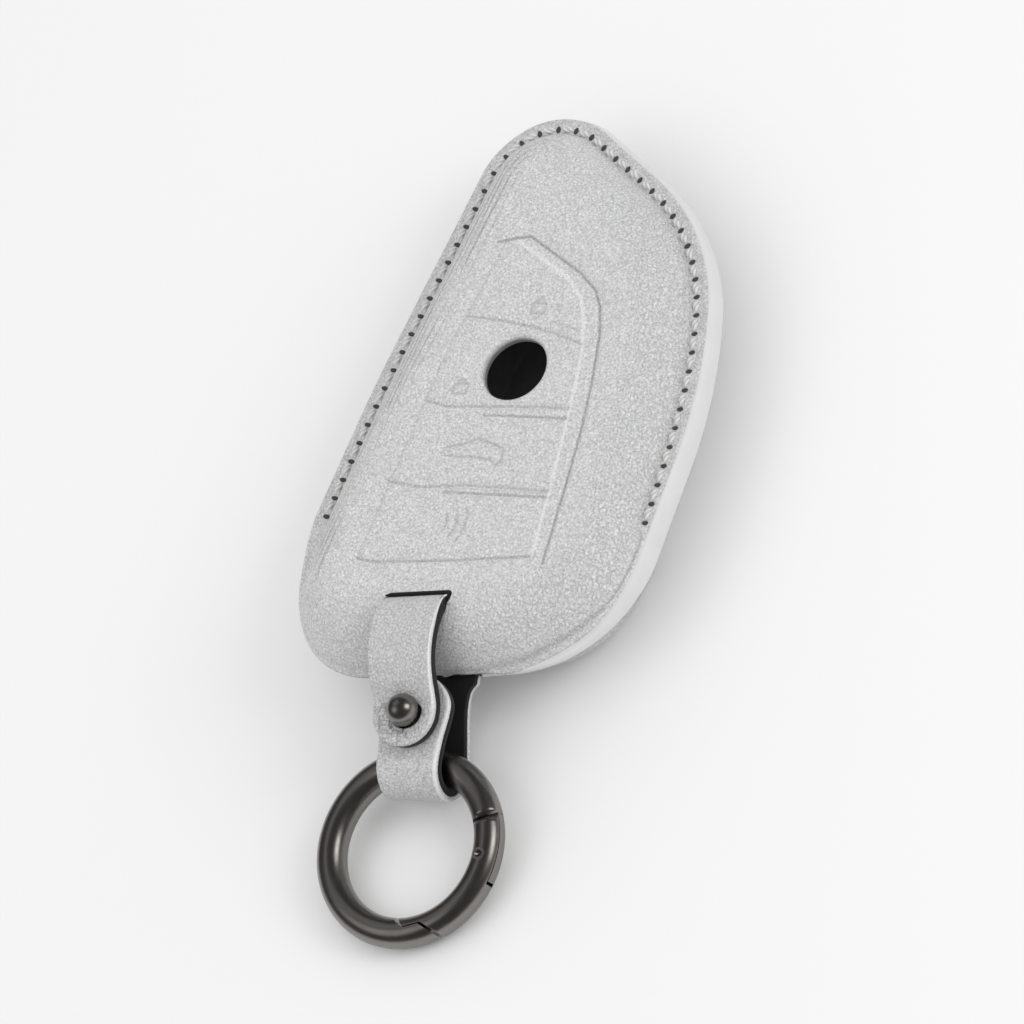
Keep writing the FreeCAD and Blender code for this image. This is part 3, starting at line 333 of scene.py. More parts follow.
@dataclass(frozen=True)
class Leather:
    """Fine-grained leather: speckled dye, small pebbles and longer wrinkles where it is stretched,
    with painted shade in its creases and painted highlights on its raised lines.

    Attributes:
        name: The material's name.
        light: Dye on the grain.
        dark: Dye in the speckles' low parts, which follow the pores' bump, so it is partly painted
            shade in the pores.
        crease: Painted shade in creases, between pebbles, between wrinkles and in pressed lines.
        ridge: Painted highlight on raised lines and edges.
        speckle: Size of the dye's speckles in mm.
        pebble: Size of a pebble in mm.
        wrinkle: Size of a wrinkle along x, y and z in mm.
        relief: Height of a pebble in mm.
        pore: Depth of the pores in mm.
        groove: Half width in mm and strength of the painted shade in a pressed line.
        highlight: Half width of a painted highlight line in mm.
        pebble_shade: Strength of the painted shade between pebbles.
        fold: Strength of the painted shade between wrinkles.
    """

    name: str = "grey_pebbled_leather"
    light: str = "#e9e9e9"
    dark: str = "#c0c0c1"
    crease: str = "#757576"
    ridge: str = "#f4f4f4"
    speckle: float = 0.36
    pebble: float = 0.6
    wrinkle: tuple[float, float, float] = (0.62, 1.5, 0.95)
    relief: float = 0.07
    pore: float = 0.09
    groove: Place = (0.36, 0.56)
    rubbed: float = 0.5
    pebble_shade: float = 0.2
    fold: float = 0.34

    @staticmethod
    def _line(tree: bpy.types.NodeTree, name: str, reach: float) -> bpy.types.NodeSocket:
        """A crisp line from two marks: side over near is the distance in mm, and near its strength.

        Args:
            tree: The material's node tree.
            name: The marks are this name with _near and _side.
            reach: Half width of the line in mm.

        Returns:
            The line's strength, 0 away from it.
        """
        near = add_node(tree, "Attribute", attribute_name=name + "_near").outputs["Fac"]
        side = add_node(tree, "Attribute", attribute_name=name + "_side").outputs["Fac"]
        floor = add_node(tree, "Math", {0: near, 1: 0.02}, operation="MAXIMUM")
        off = add_node(tree, "Math", {0: side, 1: floor.outputs[0]}, operation="DIVIDE")
        away = add_node(tree, "Math", {0: off.outputs[0]}, operation="ABSOLUTE")
        thin = add_node(tree, "MapRange", {"Value": away.outputs[0], "From Min": 0.25 * reach,
                                           "From Max": reach, "To Min": 1.0, "To Max": 0.0},
                        interpolation_type="SMOOTHSTEP")
        return add_node(tree, "Math", {0: thin.outputs[0], 1: near}, operation="MULTIPLY").outputs[0]

    def build(self) -> bpy.types.Material:
        """Makes the material; the mark named press paints shade, the one named wrinkle creases.

        Returns:
            The material.
        """
        made, tree = new_material(self.name)
        where = add_node(tree, "TexCoord").outputs["Object"]
        drift = add_node(tree, "TexNoise", {"Vector": where, "Scale": 0.6 / (self.pebble * MM),
                                            "Detail": 2.0})
        # bends the cells so that no two pebbles are alike
        bent = add_node(tree, "VectorMath", {0: drift.outputs["Color"],
                                             "Scale": 0.9 * self.pebble * MM}, operation="SCALE")
        moved = add_node(tree, "VectorMath", {0: where, 1: bent.outputs[0]}, operation="ADD")
        cells = add_node(tree, "TexVoronoi", {"Vector": moved.outputs[0],
                                              "Scale": 1.0 / (self.pebble * MM)},
                         feature="DISTANCE_TO_EDGE")
        domes = add_node(tree, "MapRange", {"Value": cells.outputs["Distance"], "From Min": 0.0,
                                            "From Max": 0.16}, interpolation_type="SMOOTHSTEP")
        # long cells lie along the cover, as hide creases when it is pulled over an edge
        long = add_node(tree, "VectorMath", {0: moved.outputs[0],
                                             1: [1.0 / (size * MM) for size in self.wrinkle]},
                        operation="MULTIPLY")
        pulled = add_node(tree, "TexVoronoi", {"Vector": long.outputs[0], "Scale": 1.0},
                          feature="DISTANCE_TO_EDGE")
        folds = add_node(tree, "MapRange", {"Value": pulled.outputs["Distance"], "From Min": 0.0,
                                            "From Max": 0.3}, interpolation_type="SMOOTHSTEP")
        fine = add_node(tree, "TexNoise", {"Vector": where, "Scale": 1.0 / (self.speckle * MM),
                                           "Detail": 4.0, "Roughness": 0.62})
        press = add_node(tree, "Attribute", attribute_name="press")
        pull = add_node(tree, "Attribute", attribute_name="wrinkle")
        # dye sits unevenly in the grain; its speckles follow the pores' bump, so the dark dye is also
        # painted shade in the pores
        spread = add_node(tree, "MapRange", {"Value": fine.outputs["Fac"], "From Min": 0.36,
                                             "From Max": 0.64})
        dyed = add_node(tree, "Mix", {"Factor": spread.outputs[0], 6: srgb(self.dark),
                                      7: srgb(self.light)}, data_type="RGBA")
        # painted shade: creases between the pebbles, wrinkles and pressed lines are darkened
        pebble_shade = add_node(tree, "MapRange", {"Value": domes.outputs[0], "To Min": self.pebble_shade,
                                          "To Max": 0.0})
        fold = add_node(tree, "MapRange", {"Value": folds.outputs[0], "To Min": self.fold,
                                           "To Max": 0.0})
        drawn = add_node(tree, "Math", {0: fold.outputs[0], 1: pull.outputs["Fac"],
                                        2: press.outputs["Fac"]}, operation="MULTIPLY_ADD")
        reach, strength = self.groove
        pressed = add_node(tree, "Math", {0: self._line(tree, "groove", reach), 1: strength,
                                          2: drawn.outputs[0]}, operation="MULTIPLY_ADD")
        deep = add_node(tree, "Math", {0: pressed.outputs[0], 1: pebble_shade.outputs[0]},
                        operation="ADD", use_clamp=True)
        shaded_dye = add_node(tree, "Mix", {"Factor": deep.outputs[0], 6: dyed.outputs[2],
                                       7: srgb(self.crease)}, data_type="RGBA")
        # painted highlight on raised lines
        rubbed = add_node(tree, "Mix", {"Factor": self._line(tree, "ridge", self.rubbed),
                                        6: shaded_dye.outputs[2], 7: srgb(self.ridge)}, data_type="RGBA")
        rough = add_node(tree, "MapRange", {"Value": domes.outputs[0], "To Min": 0.75,
                                            "To Max": 0.56})
        grain = add_node(tree, "Bump", {"Height": domes.outputs[0], "Strength": 0.7,
                                        "Distance": self.relief * MM})
        tall = add_node(tree, "Math", {0: folds.outputs[0], 1: pull.outputs["Fac"]},
                        operation="MULTIPLY")
        creased = add_node(tree, "Bump", {"Height": tall.outputs[0], "Strength": 0.9,
                                          "Distance": 1.4 * self.relief * MM,
                                          "Normal": grain.outputs[0]})
        pores = add_node(tree, "Bump", {"Height": fine.outputs["Fac"], "Strength": 0.8,
                                        "Distance": self.pore * MM, "Normal": creased.outputs[0]})
        close_material(tree, {"Base Color": rubbed.outputs[2], "Roughness": rough.outputs[0],
                              "Specular IOR Level": 0.35, "Normal": pores.outputs[0]})
        return made


@dataclass(frozen=True)
class EdgePaint:
    """Edge paint: smooth and even, with a faint brush ripple; cloud and ripple are sizes in mm."""

    name: str = "painted_leather_edge"
    colour: str = "#dadada"
    shade: str = "#d0d0d0"
    cloud: float = 5.0
    ripple: float = 0.6

    def build(self) -> bpy.types.Material:
        """Makes the material.

        Returns:
            The material.
        """
        made, tree = new_material(self.name)
        where = add_node(tree, "TexCoord").outputs["Object"]
        cloud = add_node(tree, "TexNoise", {"Vector": where, "Scale": 1.0 / (self.cloud * MM),
                                            "Detail": 4.0})
        ripple = add_node(tree, "TexNoise", {"Vector": where, "Scale": 1.0 / (self.ripple * MM),
                                             "Detail": 2.0})
        tone = add_node(tree, "Mix", {"Factor": cloud.outputs["Fac"], 6: srgb(self.colour),
                                      7: srgb(self.shade)}, data_type="RGBA")
        rough = add_node(tree, "MapRange", {"Value": cloud.outputs["Fac"], "To Min": 0.42,
                                            "To Max": 0.6})
        bump = add_node(tree, "Bump", {"Height": ripple.outputs["Fac"], "Strength": 0.25,
                                       "Distance": 0.05 * MM})
        close_material(tree, {"Base Color": tone.outputs[2], "Roughness": rough.outputs[0],
                              "Specular IOR Level": 0.4, "Normal": bump.outputs[0]})
        return made


@dataclass(frozen=True)
class Thread:
    """Bonded thread: pale, fibrous, with painted shade between its plies.

    Real fibres are too fine to show, so fibre, their size in mm, is as coarse as it needs to be.
    """

    name: str = "bonded_thread"
    colour: str = "#e6e6e5"
    shade: str = "#bdbdbb"
    fibre: float = 0.12

    def build(self) -> bpy.types.Material:
        """Makes the material; the mark named press is 1 between the plies, where it paints shade.

        Returns:
            The material.
        """
        made, tree = new_material(self.name)
        where = add_node(tree, "TexCoord").outputs["Object"]
        fibre = add_node(tree, "TexNoise", {"Vector": where, "Scale": 1.0 / (self.fibre * MM),
                                            "Detail": 3.0, "Roughness": 0.7})
        press = add_node(tree, "Attribute", attribute_name="press")
        # the fibres vary the tone, and painted shade darkens it between the plies
        lean = add_node(tree, "Math", {0: fibre.outputs["Fac"], 1: 0.35, 2: press.outputs["Fac"]},
                        operation="MULTIPLY_ADD", use_clamp=True)
        tone = add_node(tree, "Mix", {"Factor": lean.outputs[0], 6: srgb(self.colour),
                                      7: srgb(self.shade)}, data_type="RGBA")
        bump = add_node(tree, "Bump", {"Height": fibre.outputs["Fac"], "Strength": 0.5,
                                       "Distance": 0.04 * MM})
        close_material(tree, {"Base Color": tone.outputs[2], "Roughness": 0.62,
                              "Normal": bump.outputs[0]})
        return made


@dataclass(frozen=True)
class Suede:
    """Suede: matt nap with a slight sheen at a low angle; nap and brush are sizes in mm."""

    name: str
    colour: str
    shade: str
    nap: float = 0.18
    brush: float = 4.0

    def build(self) -> bpy.types.Material:
        """Makes the material.

        Returns:
            The material.
        """
        made, tree = new_material(self.name)
        where = add_node(tree, "TexCoord").outputs["Object"]
        nap = add_node(tree, "TexNoise", {"Vector": where, "Scale": 1.0 / (self.nap * MM),
                                          "Detail": 4.0, "Roughness": 0.7})
        brushed = add_node(tree, "TexNoise", {"Vector": where, "Scale": 1.0 / (self.brush * MM),
                                              "Detail": 2.0})
        both = add_node(tree, "Math", {0: nap.outputs["Fac"], 1: brushed.outputs["Fac"]},
                        operation="MULTIPLY")
        tone = add_node(tree, "Mix", {"Factor": both.outputs[0], 6: srgb(self.shade),
                                      7: srgb(self.colour)}, data_type="RGBA")
        bump = add_node(tree, "Bump", {"Height": nap.outputs["Fac"], "Strength": 0.6,
                                       "Distance": 0.08 * MM})
        close_material(tree, {"Base Color": tone.outputs[2], "Roughness": 0.95,
                              "Specular IOR Level": 0.1, "Sheen Weight": 0.15,
                              "Sheen Roughness": 0.5, "Normal": bump.outputs[0]})
        return made


@dataclass(frozen=True)
class Metal:
    """Satin metal: softly mottled, with a painted highlight along its edges.

    Attributes:
        name: The material's name.
        colour: Its tone.
        highlight_tone: Its painted highlight at edges.
        roughness: About its middle value.
        mottle: Size of the mottling in mm.
        blast: Size of the satin's fine pits in mm, as coarse as it needs to be to show.
        edge: How far the painted edge highlight reaches, in mm.
    """

    name: str
    colour: str
    highlight_tone: str
    roughness: float
    mottle: float = 1.6
    blast: float = 0.09
    edge: float = 0.12

    def build(self) -> bpy.types.Material:
        """Makes the material.

        Returns:
            The material.
        """
        made, tree = new_material(self.name)
        where = add_node(tree, "TexCoord").outputs["Object"]
        mottle = add_node(tree, "TexNoise", {"Vector": where, "Scale": 1.0 / (self.mottle * MM),
                                             "Detail": 5.0})
        blast = add_node(tree, "TexNoise", {"Vector": where, "Scale": 1.0 / (self.blast * MM),
                                            "Detail": 2.0})
        # the rounded normal leaves the true one only at an edge, where a painted highlight lightens
        # the tone
        round_edge = add_node(tree, "Bevel", {"Radius": self.edge * MM}, samples=6)
        true = add_node(tree, "NewGeometry")
        along = add_node(tree, "VectorMath", {0: round_edge.outputs[0], 1: true.outputs["Normal"]},
                         operation="DOT_PRODUCT")
        rubbed = add_node(tree, "MapRange", {"Value": along.outputs["Value"], "From Min": 0.995,
                                             "From Max": 0.9, "To Max": 0.8})
        tone = add_node(tree, "Mix", {"Factor": rubbed.outputs[0], 6: srgb(self.colour),
                                      7: srgb(self.highlight_tone)}, data_type="RGBA")
        rough = add_node(tree, "MapRange", {"Value": mottle.outputs["Fac"],
                                            "To Min": self.roughness - 0.05,
                                            "To Max": self.roughness + 0.09})
        bump = add_node(tree, "Bump", {"Height": blast.outputs["Fac"], "Strength": 0.12,
                                       "Distance": 0.02 * MM})
        close_material(tree, {"Base Color": tone.outputs[2], "Metallic": 1.0,
                              "Roughness": rough.outputs[0], "Normal": bump.outputs[0]})
        return made


@dataclass
class Materials:
    """The finishes of the cover, each made once."""

    leather: bpy.types.Material = field(default_factory=lambda: Leather().build())
    edge: bpy.types.Material = field(default_factory=lambda: EdgePaint().build())
    thread: bpy.types.Material = field(default_factory=lambda: Thread().build())
    lining: bpy.types.Material = field(default_factory=lambda: Suede(
        "black_suede_lining", "#242425", "#161617").build())
    # the black lining painted much lighter for the linings inside the cover: painted light where they
    # lie in shade
    inside: bpy.types.Material = field(default_factory=lambda: Suede(
        "lining_painted_lighter", "#8a8a8b", "#78787a").build())
    # painted shade in the stitch holes
    hole: bpy.types.Material = field(default_factory=lambda: Suede(
        "painted_hole_shade", "#545455", "#3e3e40").build())
    # the metals' second tone is a painted highlight along their edges
    metal: bpy.types.Material = field(default_factory=lambda: Metal(
        "satin_gunmetal", "#8a8783", "#c0bcb6", 0.28).build())
    steel: bpy.types.Material = field(default_factory=lambda: Metal(
        "drawn_spring_steel", "#a9a9a8", "#c8c8c6", 0.28).build())


@dataclass
class Outline:
    """The cover's outline: a polygon whose corners are rounded by tangent arcs.

    Attributes:
        corners: x, y and radius of each corner, in order round the cover.
        samples: Points along it, even in length.
        arc_points: Points on each corner's arc, before they are spaced evenly.
    """

    corners: tuple[tuple[float, float, float], ...] = (
        (-13.0, 59.5, 14.0), (28.1, 30.2, 39.0), (32.4, 1.0, 85.0), (27.3, -43.7, 23.0),
        (-2.0, -46.9, 60.0), (-32.35, -47.3, 15.0), (-31.7, -24.0, 40.0), (-26.9, 2.33, 300.0))
    samples: int = 1440
    arc_points: int = 121

    def __post_init__(self) -> None:
        """Samples the outline, with the inward normal and the length from the start."""
        spot = np.array(self.corners)[:, :2]
        arcs = []
        for index, (x, y, radius) in enumerate(self.corners):
            here = np.array([x, y])
            back, ahead = spot[index - 1] - here, spot[(index + 1) % len(spot)] - here
            back, ahead = back / np.linalg.norm(back), ahead / np.linalg.norm(ahead)
            half = math.acos(float(back @ ahead)) / 2
            middle = (back + ahead) / np.linalg.norm(back + ahead)
            centre = here + middle * radius / math.sin(half)
            sweep = np.linspace(-1.0, 1.0, self.arc_points) * (math.pi / 2 - half)
            turn = 1.0 if back[0] * ahead[1] - back[1] * ahead[0] > 0 else -1.0
            towards = math.atan2(-middle[1], -middle[0])
            angle = towards - turn * sweep
            arcs.append(centre + radius * np.column_stack([np.cos(angle), np.sin(angle)]))
        self.points = even(np.concatenate(arcs), self.samples, closed=True)
        along = np.roll(self.points, -1, 0) - np.roll(self.points, 1, 0)
        along /= np.linalg.norm(along, axis=1, keepdims=True)
        inward = np.column_stack([along[:, 1], -along[:, 0]])
        middle = self.points.mean(0)
        side = np.sign(np.einsum("ij,ij->i", inward, middle - self.points).sum())
        self.inward = inward * side
        step = np.linalg.norm(self.points[1] - self.points[0])
        self.length = np.arange(self.samples) * step

    def inset(self, distance: Array | float) -> Array:
        """The outline moved inward by a distance at each sample."""
        return self.points + self.inward * np.broadcast_to(distance, (self.samples,))[:, None]

    def nearest(self, x: Array, y: Array) -> tuple[Array, Array]:
        """Distance from points inside to the outline, and the length along it there.

        Args:
            x: First coordinate.
            y: Second coordinate.

        Returns:
            Distance and length, shaped like x.
        """
        flat = np.column_stack([x.ravel(), y.ravel()]).astype(np.float32)
        line = self.points.astype(np.float32)
        square = (line * line).sum(1)
        best = np.concatenate([
            np.argmin(square - 2.0 * chunk @ line.T, axis=1)
            for chunk in np.array_split(flat, max(1, len(flat) // 8192))])
        off = flat - line[best]
        across = np.abs(np.einsum("ij,ij->i", off, self.inward[best]))
        return across.reshape(x.shape), self.length[best].reshape(x.shape)


@dataclass
class Form:
    """The cover's moulded form: levels, insets and how the lower end is wrapped over.

    Attributes:
        outline: The cover's outline.
        seam_foot: Inset of the crown's foot along the seam, on the right.
        narrow: How much narrower the flange is on the left.
        lip_foot: Inset of the foot at the unsewn lower end.
        window: Middle of the round window.
        bore: Radius of the window.
        strap_x: Middle of the closure strap and the ring tab.
        half_strap: Half of their width.
        stitch_gap: How far the seam runs outside the foot.
        stitch_pitch: Distance between stitch holes.
        pucker_depth: How deep a stitch draws the leather in.
        seam_end: Where the seam stops, in y.
        fold: Where the back folds open, in y.
        bend: How far the fold's bend runs to each side; not used.
        plateau: Height of the front's middle.
        front_flange: Height of the front's flange.
        lip_level: Height of the front's edge at the unsewn lower end.
        back_flange: Height of the back's flange.
        across: Where right gives way to left, in x.
        foot_right: Where the foot starts and stops moving outward on the right, in y.
        foot_left: The same on the left.
        wrap_right: Where the front starts to wrap over the edge and is wrapped, on the right, in y.
        wrap_left: The same on the left.
    """

    outline: Outline = field(default_factory=Outline)
    seam_foot: float = 3.8
    narrow: float = 0.9
    lip_foot: float = 2.0
    window: Place = (1.2, 2.3)
    bore: float = 5.5
    strap_x: float = -4.2
    half_strap: float = 5.4
    stitch_gap: float = 0.8
    stitch_pitch: float = 3.3
    pucker_depth: float = 0.3
    seam_end: float = -21.3
    fold: float = -22.5
    bend: float = 2.0
    plateau: float = 20.0
    front_flange: float = 13.8
    lip_level: float = 10.5
    back_flange: float = 9.0
    across: Place = (8.0, -12.0)
    foot_right: Place = (-3.0, -41.8)
    foot_left: Place = (-24.3, -48.0)
    wrap_right: Place = (-25.0, -47.0)
    wrap_left: Place = (-20.0, -43.0)

    def leftward(self, x: Array) -> Array:
        """Eases from 0 on the right to 1 on the left."""
        return smooth(*self.across, x)

    def foot(self, x: Array, y: Array) -> Array:
        """Inset of the crown's foot: even along the seam, less towards the lower end.

        Args:
            x: First coordinate.
            y: Second coordinate.

        Returns:
            The inset in mm.
        """
        left, right = (np.clip((start - y) / (start - stop), 0.0, 1.0)
                       for start, stop in (self.foot_left, self.foot_right))
        leftward = self.leftward(x)
        share = right + (left - right) * leftward
        seam = self.seam_foot - self.narrow * leftward
        return seam + (self.lip_foot - seam) * share

    def wrap(self, x: Array, y: Array) -> Array:
        """How far the front leather is wrapped over the edge: 0 on the seam, 1 at the lower end."""
        left, right = smooth(*self.wrap_left, y), smooth(*self.wrap_right, y)
        return left + (right - left) * smooth(-4.0, 14.0, x)

    def holes(self) -> Array:
        """Places of the stitch holes, evenly along the seam from end to end over the top.

        Returns:
            One row a hole.
        """
        points = self.outline.points
        line = self.outline.inset(self.foot(points[:, 0], points[:, 1]) - self.stitch_gap)
        lowest = int(np.argmin(line[:, 1]))
        line = np.roll(line, -lowest, 0)
        sewn = line[line[:, 1] > self.seam_end]
        run = np.hypot(*np.diff(sewn, axis=0).T).sum()
        return even(sewn, int(round(run / self.stitch_pitch)) + 1, closed=False)

    def pucker(self, x: Array, y: Array) -> Array:
        """How far the stitches draw a face in: depth * exp(-(distance / 0.6 mm) ** 2) at each hole.

        Args:
            x: First coordinate.
            y: Second coordinate.

        Returns:
            The depth in mm.
        """
        holes = self.holes()
        away = np.min((x[..., None] - holes[:, 0]) ** 2 + (y[..., None] - holes[:, 1]) ** 2, -1)
        return self.pucker_depth * np.exp(-away / 0.36)


class Press(Enum):
    """How a line shows in the front leather: pressed in, with painted shade, or raised, with a
    painted highlight.
    """

    GROOVE = "groove"
    RIDGE = "ridge"


@dataclass
class Mark:
    """A line that shows in the front leather.

    Attributes:
        line: Its corners.
        tone: Strength of its painted shade in a groove, and of its painted highlight on a ridge, 0 to
            1.
        depth: How deep it is pressed in.
        width: Half width of its relief.
        press: Whether it is a groove or a ridge.
    """

    line: tuple[Place, ...]
    tone: float
    depth: float = 0.22
    width: float = 0.42
    press: Press = Press.GROOVE


def ring_of(centre: Place, radius: float, start: float, stop: float, steps: int) -> tuple[Place, ...]:
    """Corners of an arc, as a polyline.

    Args:
        centre: The arc's middle.
        radius: Its radius.
        start: First angle in degrees.
        stop: Last angle in degrees.
        steps: How many corners.

    Returns:
        The corners.
    """
    angle = np.radians(np.linspace(start, stop, steps))
    return tuple((centre[0] + radius * math.cos(a), centre[1] + radius * math.sin(a))
                 for a in angle)


def padlock(x: float, y: float, size: float) -> list[Mark]:
    """Outline of a plain padlock: a box with a shackle over it.

    Args:
        x: Its middle.
        y: Its foot.
        size: Its width.

    Returns:
        The box and the shackle.
    """
    half, body = size * 0.5, size * 0.75
    box = ((x - half, y), (x + half, y), (x + half, y + body), (x - half, y + body), (x - half, y))
    bow = ring_of((x, y + body), half * 0.62, 0.0, 180.0, 9)
    return [Mark(box, 0.4, 0.14, 0.3), Mark(bow, 0.4, 0.14, 0.3)]


@dataclass
class FrontShell:
    """The moulded front: flange, crown, pressed panel, window rim and wrapped lower lip.

    Attributes:
        form: The cover's form.
        rings: Rows from the cut edge to the window.
        rays: Columns round the cover.
        inner_step: Rows of the outer face to one row of the inner.
        crowd: Power that crowds the rows towards the cut edge.
        thick: Thickness of the leather.
        edge_thick: Its least thickness at the cut edge.
        run: Width of the crown's slope on the seam.
        lip_run: How much wider it is at the lower end.
        crown_power: Power of the slope on the seam.
        lip_power: Its power at the lower end.
        roll: How far the flange rises to its rolled edge.
        lip_seam: Inset of the cut edge on the seam.
        lip_end: Its inset at the lower end.
        lip_heel: How much more it is at the lower right corner.
        lip_loop: How far it reaches out over the loop's root.
        lip_round: Round of the cut edge.
        crease_pitch: Distance between the creases on the left.
        crease_depth: Their depth.
        crease_tone: How strong their painted shade is.
        mark_reach: How far from a pressed line its marks are read.
    """

    form: Form
    rings: int = 121
    rays: int = 720
    inner_step: int = 9
    crowd: float = 1.12
    thick: float = 1.3
    edge_thick: float = 0.4
    run: float = 8.6
    lip_run: float = 2.6
    crown_power: float = 2.3
    lip_power: float = 2.9
    roll: float = 0.18
    lip_seam: float = 1.0
    lip_end: float = 0.05
    lip_heel: float = 1.4
    lip_loop: float = 0.6
    lip_round: float = 0.55
    crease_pitch: float = 1.15
    crease_depth: float = 0.07
    crease_tone: float = 0.44
    mark_reach: float = 0.55

    def marks(self) -> list[Mark]:
        """The pressed lines: borders, button edges and generic signs.

        Returns:
            Each line with its strength and relief.
        """
        outer = ((-7.5, 24.4), (-4.1, 25.1), (-2.0, 25.4), (8.5, 19.0), (12.1, 15.9), (13.6, 13.0),
                 (14.8, 8.2), (15.6, -0.1), (15.9, -6.7), (15.8, -18.0), (15.25, -31.4))
        inner = ((-3.7, 24.4), (6.7, 18.0), (10.0, 14.4), (11.4, 10.8), (12.6, 5.2), (13.1, -4.6),
                 (13.3, -18.9), (13.2, -30.2))
        pressed = [
            Mark(outer, 0.85, 0.3),
            Mark(inner, 0.45, -0.1, 0.4, Press.RIDGE),
            Mark(((-6.2, 24.2), (-11.6, 4.0), (-15.0, -16.0), (-17.5, -31.2)), 0.25, 0.15, 0.45),
            Mark(((-9.7, 11.3), (-3.2, 10.5), (1.5, 9.7), (5.8, 8.7), (12.1, 6.5)), 0.5, 0.26, 0.5),
            Mark(((5.8, 10.4), (10.4, 9.0)), 0.3, 0.18, 0.36),
            Mark(((-12.9, -3.6), (-8.9, -4.6), (2.8, -4.4), (12.8, -4.6)), 0.5, 0.32, 0.5),
            Mark(((-1.8, -6.1), (5.5, -6.2), (12.9, -6.5)), 0.7, 0.22, 0.36),
            Mark(((-15.7, -17.75), (-10.0, -18.7), (-2.0, -18.2), (12.9, -18.9)), 0.5, 0.32, 0.5),
            Mark(((-5.4, -19.6), (4.0, -19.8), (13.4, -20.1)), 0.7, 0.22, 0.36),
            Mark(((-17.5, -31.2), (-14.6, -31.8), (0.0, -31.2), (13.2, -30.2)), 0.65, 0.26, 0.46),
            Mark(((-7.1, -11.8), (-4.3, -11.2), (-1.5, -10.2), (3.1, -11.8), (3.3, -14.2),
                  (2.6, -14.6)), 0.5, 0.18, 0.32),
            Mark(((-6.7, -13.2), (-1.2, -13.4), (1.75, -13.9), (2.6, -14.6)), 0.5, 0.16, 0.32),
        ]
        beam = (-6.4, -24.6)
        pressed += [Mark(ring_of(beam, radius, -32.0, 22.0, 9), 0.45, 0.16, 0.3)
                    for radius in (3.0, 4.7, 6.4)]
        return pressed + padlock(2.8, 11.8, 2.4) + padlock(-7.3, -2.4, 2.4)

    def _creases(self, x: Array, y: Array, along: Array, inset: Array, past: Array) -> Array:
        """Fine creases along the seam on the left: crests of cos(2 pi w / pitch), w wandering.

        Args:
            x: First coordinate.
            y: Second coordinate.
            along: Length along the outline.
            inset: Distance from the outline.
            past: Distance past the crown's foot.

        Returns:
            Their strength, 0 to 1.
        """
        wander = past + 0.5 * value_noise(along, inset, (16.0, 3.0), 17)
        drawn = smooth(0.3, 1.0, np.cos(2.0 * math.pi * wander / self.crease_pitch))
        drawn *= smooth(4.0, -12.0, x) * smooth(1.6, 3.4, past) * smooth(10.5, 6.5, past)
        broken = smooth(-0.4, 0.4, value_noise(along, inset, (9.0, 1.6), 19))
        return drawn * (smooth(-40.0, -32.0, y) * broken)

    def _pressed(self, x: Array, y: Array) -> tuple[Array, dict[str, Array]]:
        """Relief of the pressed lines: depth * exp(-(distance / width) ** 2) for each.

        Args:
            x: First coordinate.
            y: Second coordinate.

        Returns:
            Depth in mm, and for each kind of line the strength of its painted tone (shade for
            grooves, highlight for ridges), and strength times distance.
        """
        depth = np.zeros(x.shape)
        marks = {f"{kind.value}_{what}": np.zeros(x.shape) for kind in Press
                 for what in ("near", "side")}
        for mark in self.marks():
            off = line_offset(x, y, mark.line)
            depth += mark.depth * np.exp(-(off / mark.width) ** 2)
            near = mark.tone * np.exp(-(off / self.mark_reach) ** 2)
            near_all, side_all = (marks[f"{mark.press.value}_{what}"] for what in ("near", "side"))
            nearer = near > near_all
            near_all[nearer], side_all[nearer] = near[nearer], (near * off)[nearer]
        return depth, marks

    def top(self, x: Array, y: Array, lip: Array) -> tuple[Array, dict[str, Array]]:
        """Height of the outer face, and marks for its shader.

        The crown is z = level + rise * (1 - (1 - t) ** power), t = distance past the foot / run;
        its rounded edge, pressed lines, puckers and wrinkles come off it.

        Args:
            x: First coordinate.
            y: Second coordinate.
            lip: Inset of the leather's cut edge at each point.

        Returns:
            Height in mm, and the marks by name.
        """
        form = self.form
        inset, along = form.outline.nearest(x, y)
        wrapped = form.wrap(x, y)
        foot = form.foot(x, y) * (1 - wrapped) + (lip + 0.1) * wrapped
        level = form.front_flange * (1 - wrapped) + form.lip_level * wrapped
        past = inset - foot
        t = np.clip(past / (self.run + self.lip_run * wrapped), 0.0, 1.0)
        power = self.crown_power + (self.lip_power - self.crown_power) * wrapped
        z = level + (form.plateau - level) * (1.0 - (1.0 - t) ** power)
        # the flange rises a little from the seam to its rolled cut edge
        z += self.roll * (1 - wrapped) * smooth(0.0, -1.6, past)
        z -= edge_drop(inset - lip, self.lip_round)
        # painted shade: a dark line at the foot, streaks outside the stitches and a line along the
        # rolled lip
        sewn = smooth(form.seam_end - 3.0, form.seam_end, y)
        streak = 0.6 + 0.4 * value_noise(along, inset, (0.7, 0.5), 11)
        press = sewn * (0.2 * np.exp(-(past / 0.4) ** 2) + 0.26 * streak * smooth(-1.1, -1.7, past))
        rolled = (1 - sewn) * (0.12 + 0.28 * smooth(-2.0, 14.0, x))
        press = np.maximum(press, rolled * np.exp(-((inset - lip - 0.75) / 0.22) ** 2))
        slope = smooth(0.0, 0.1, t) * smooth(1.15, 0.55, t)
        z += 0.075 * slope * value_noise(along, inset, (9.0, 0.9), 3)
        z += 0.05 * slope * value_noise(along, inset, (4.0, 0.5), 5)
        z += 0.045 * value_noise(x, y, (4.5, 4.5), 7)
        drawn = self._creases(x, y, along, inset, past)
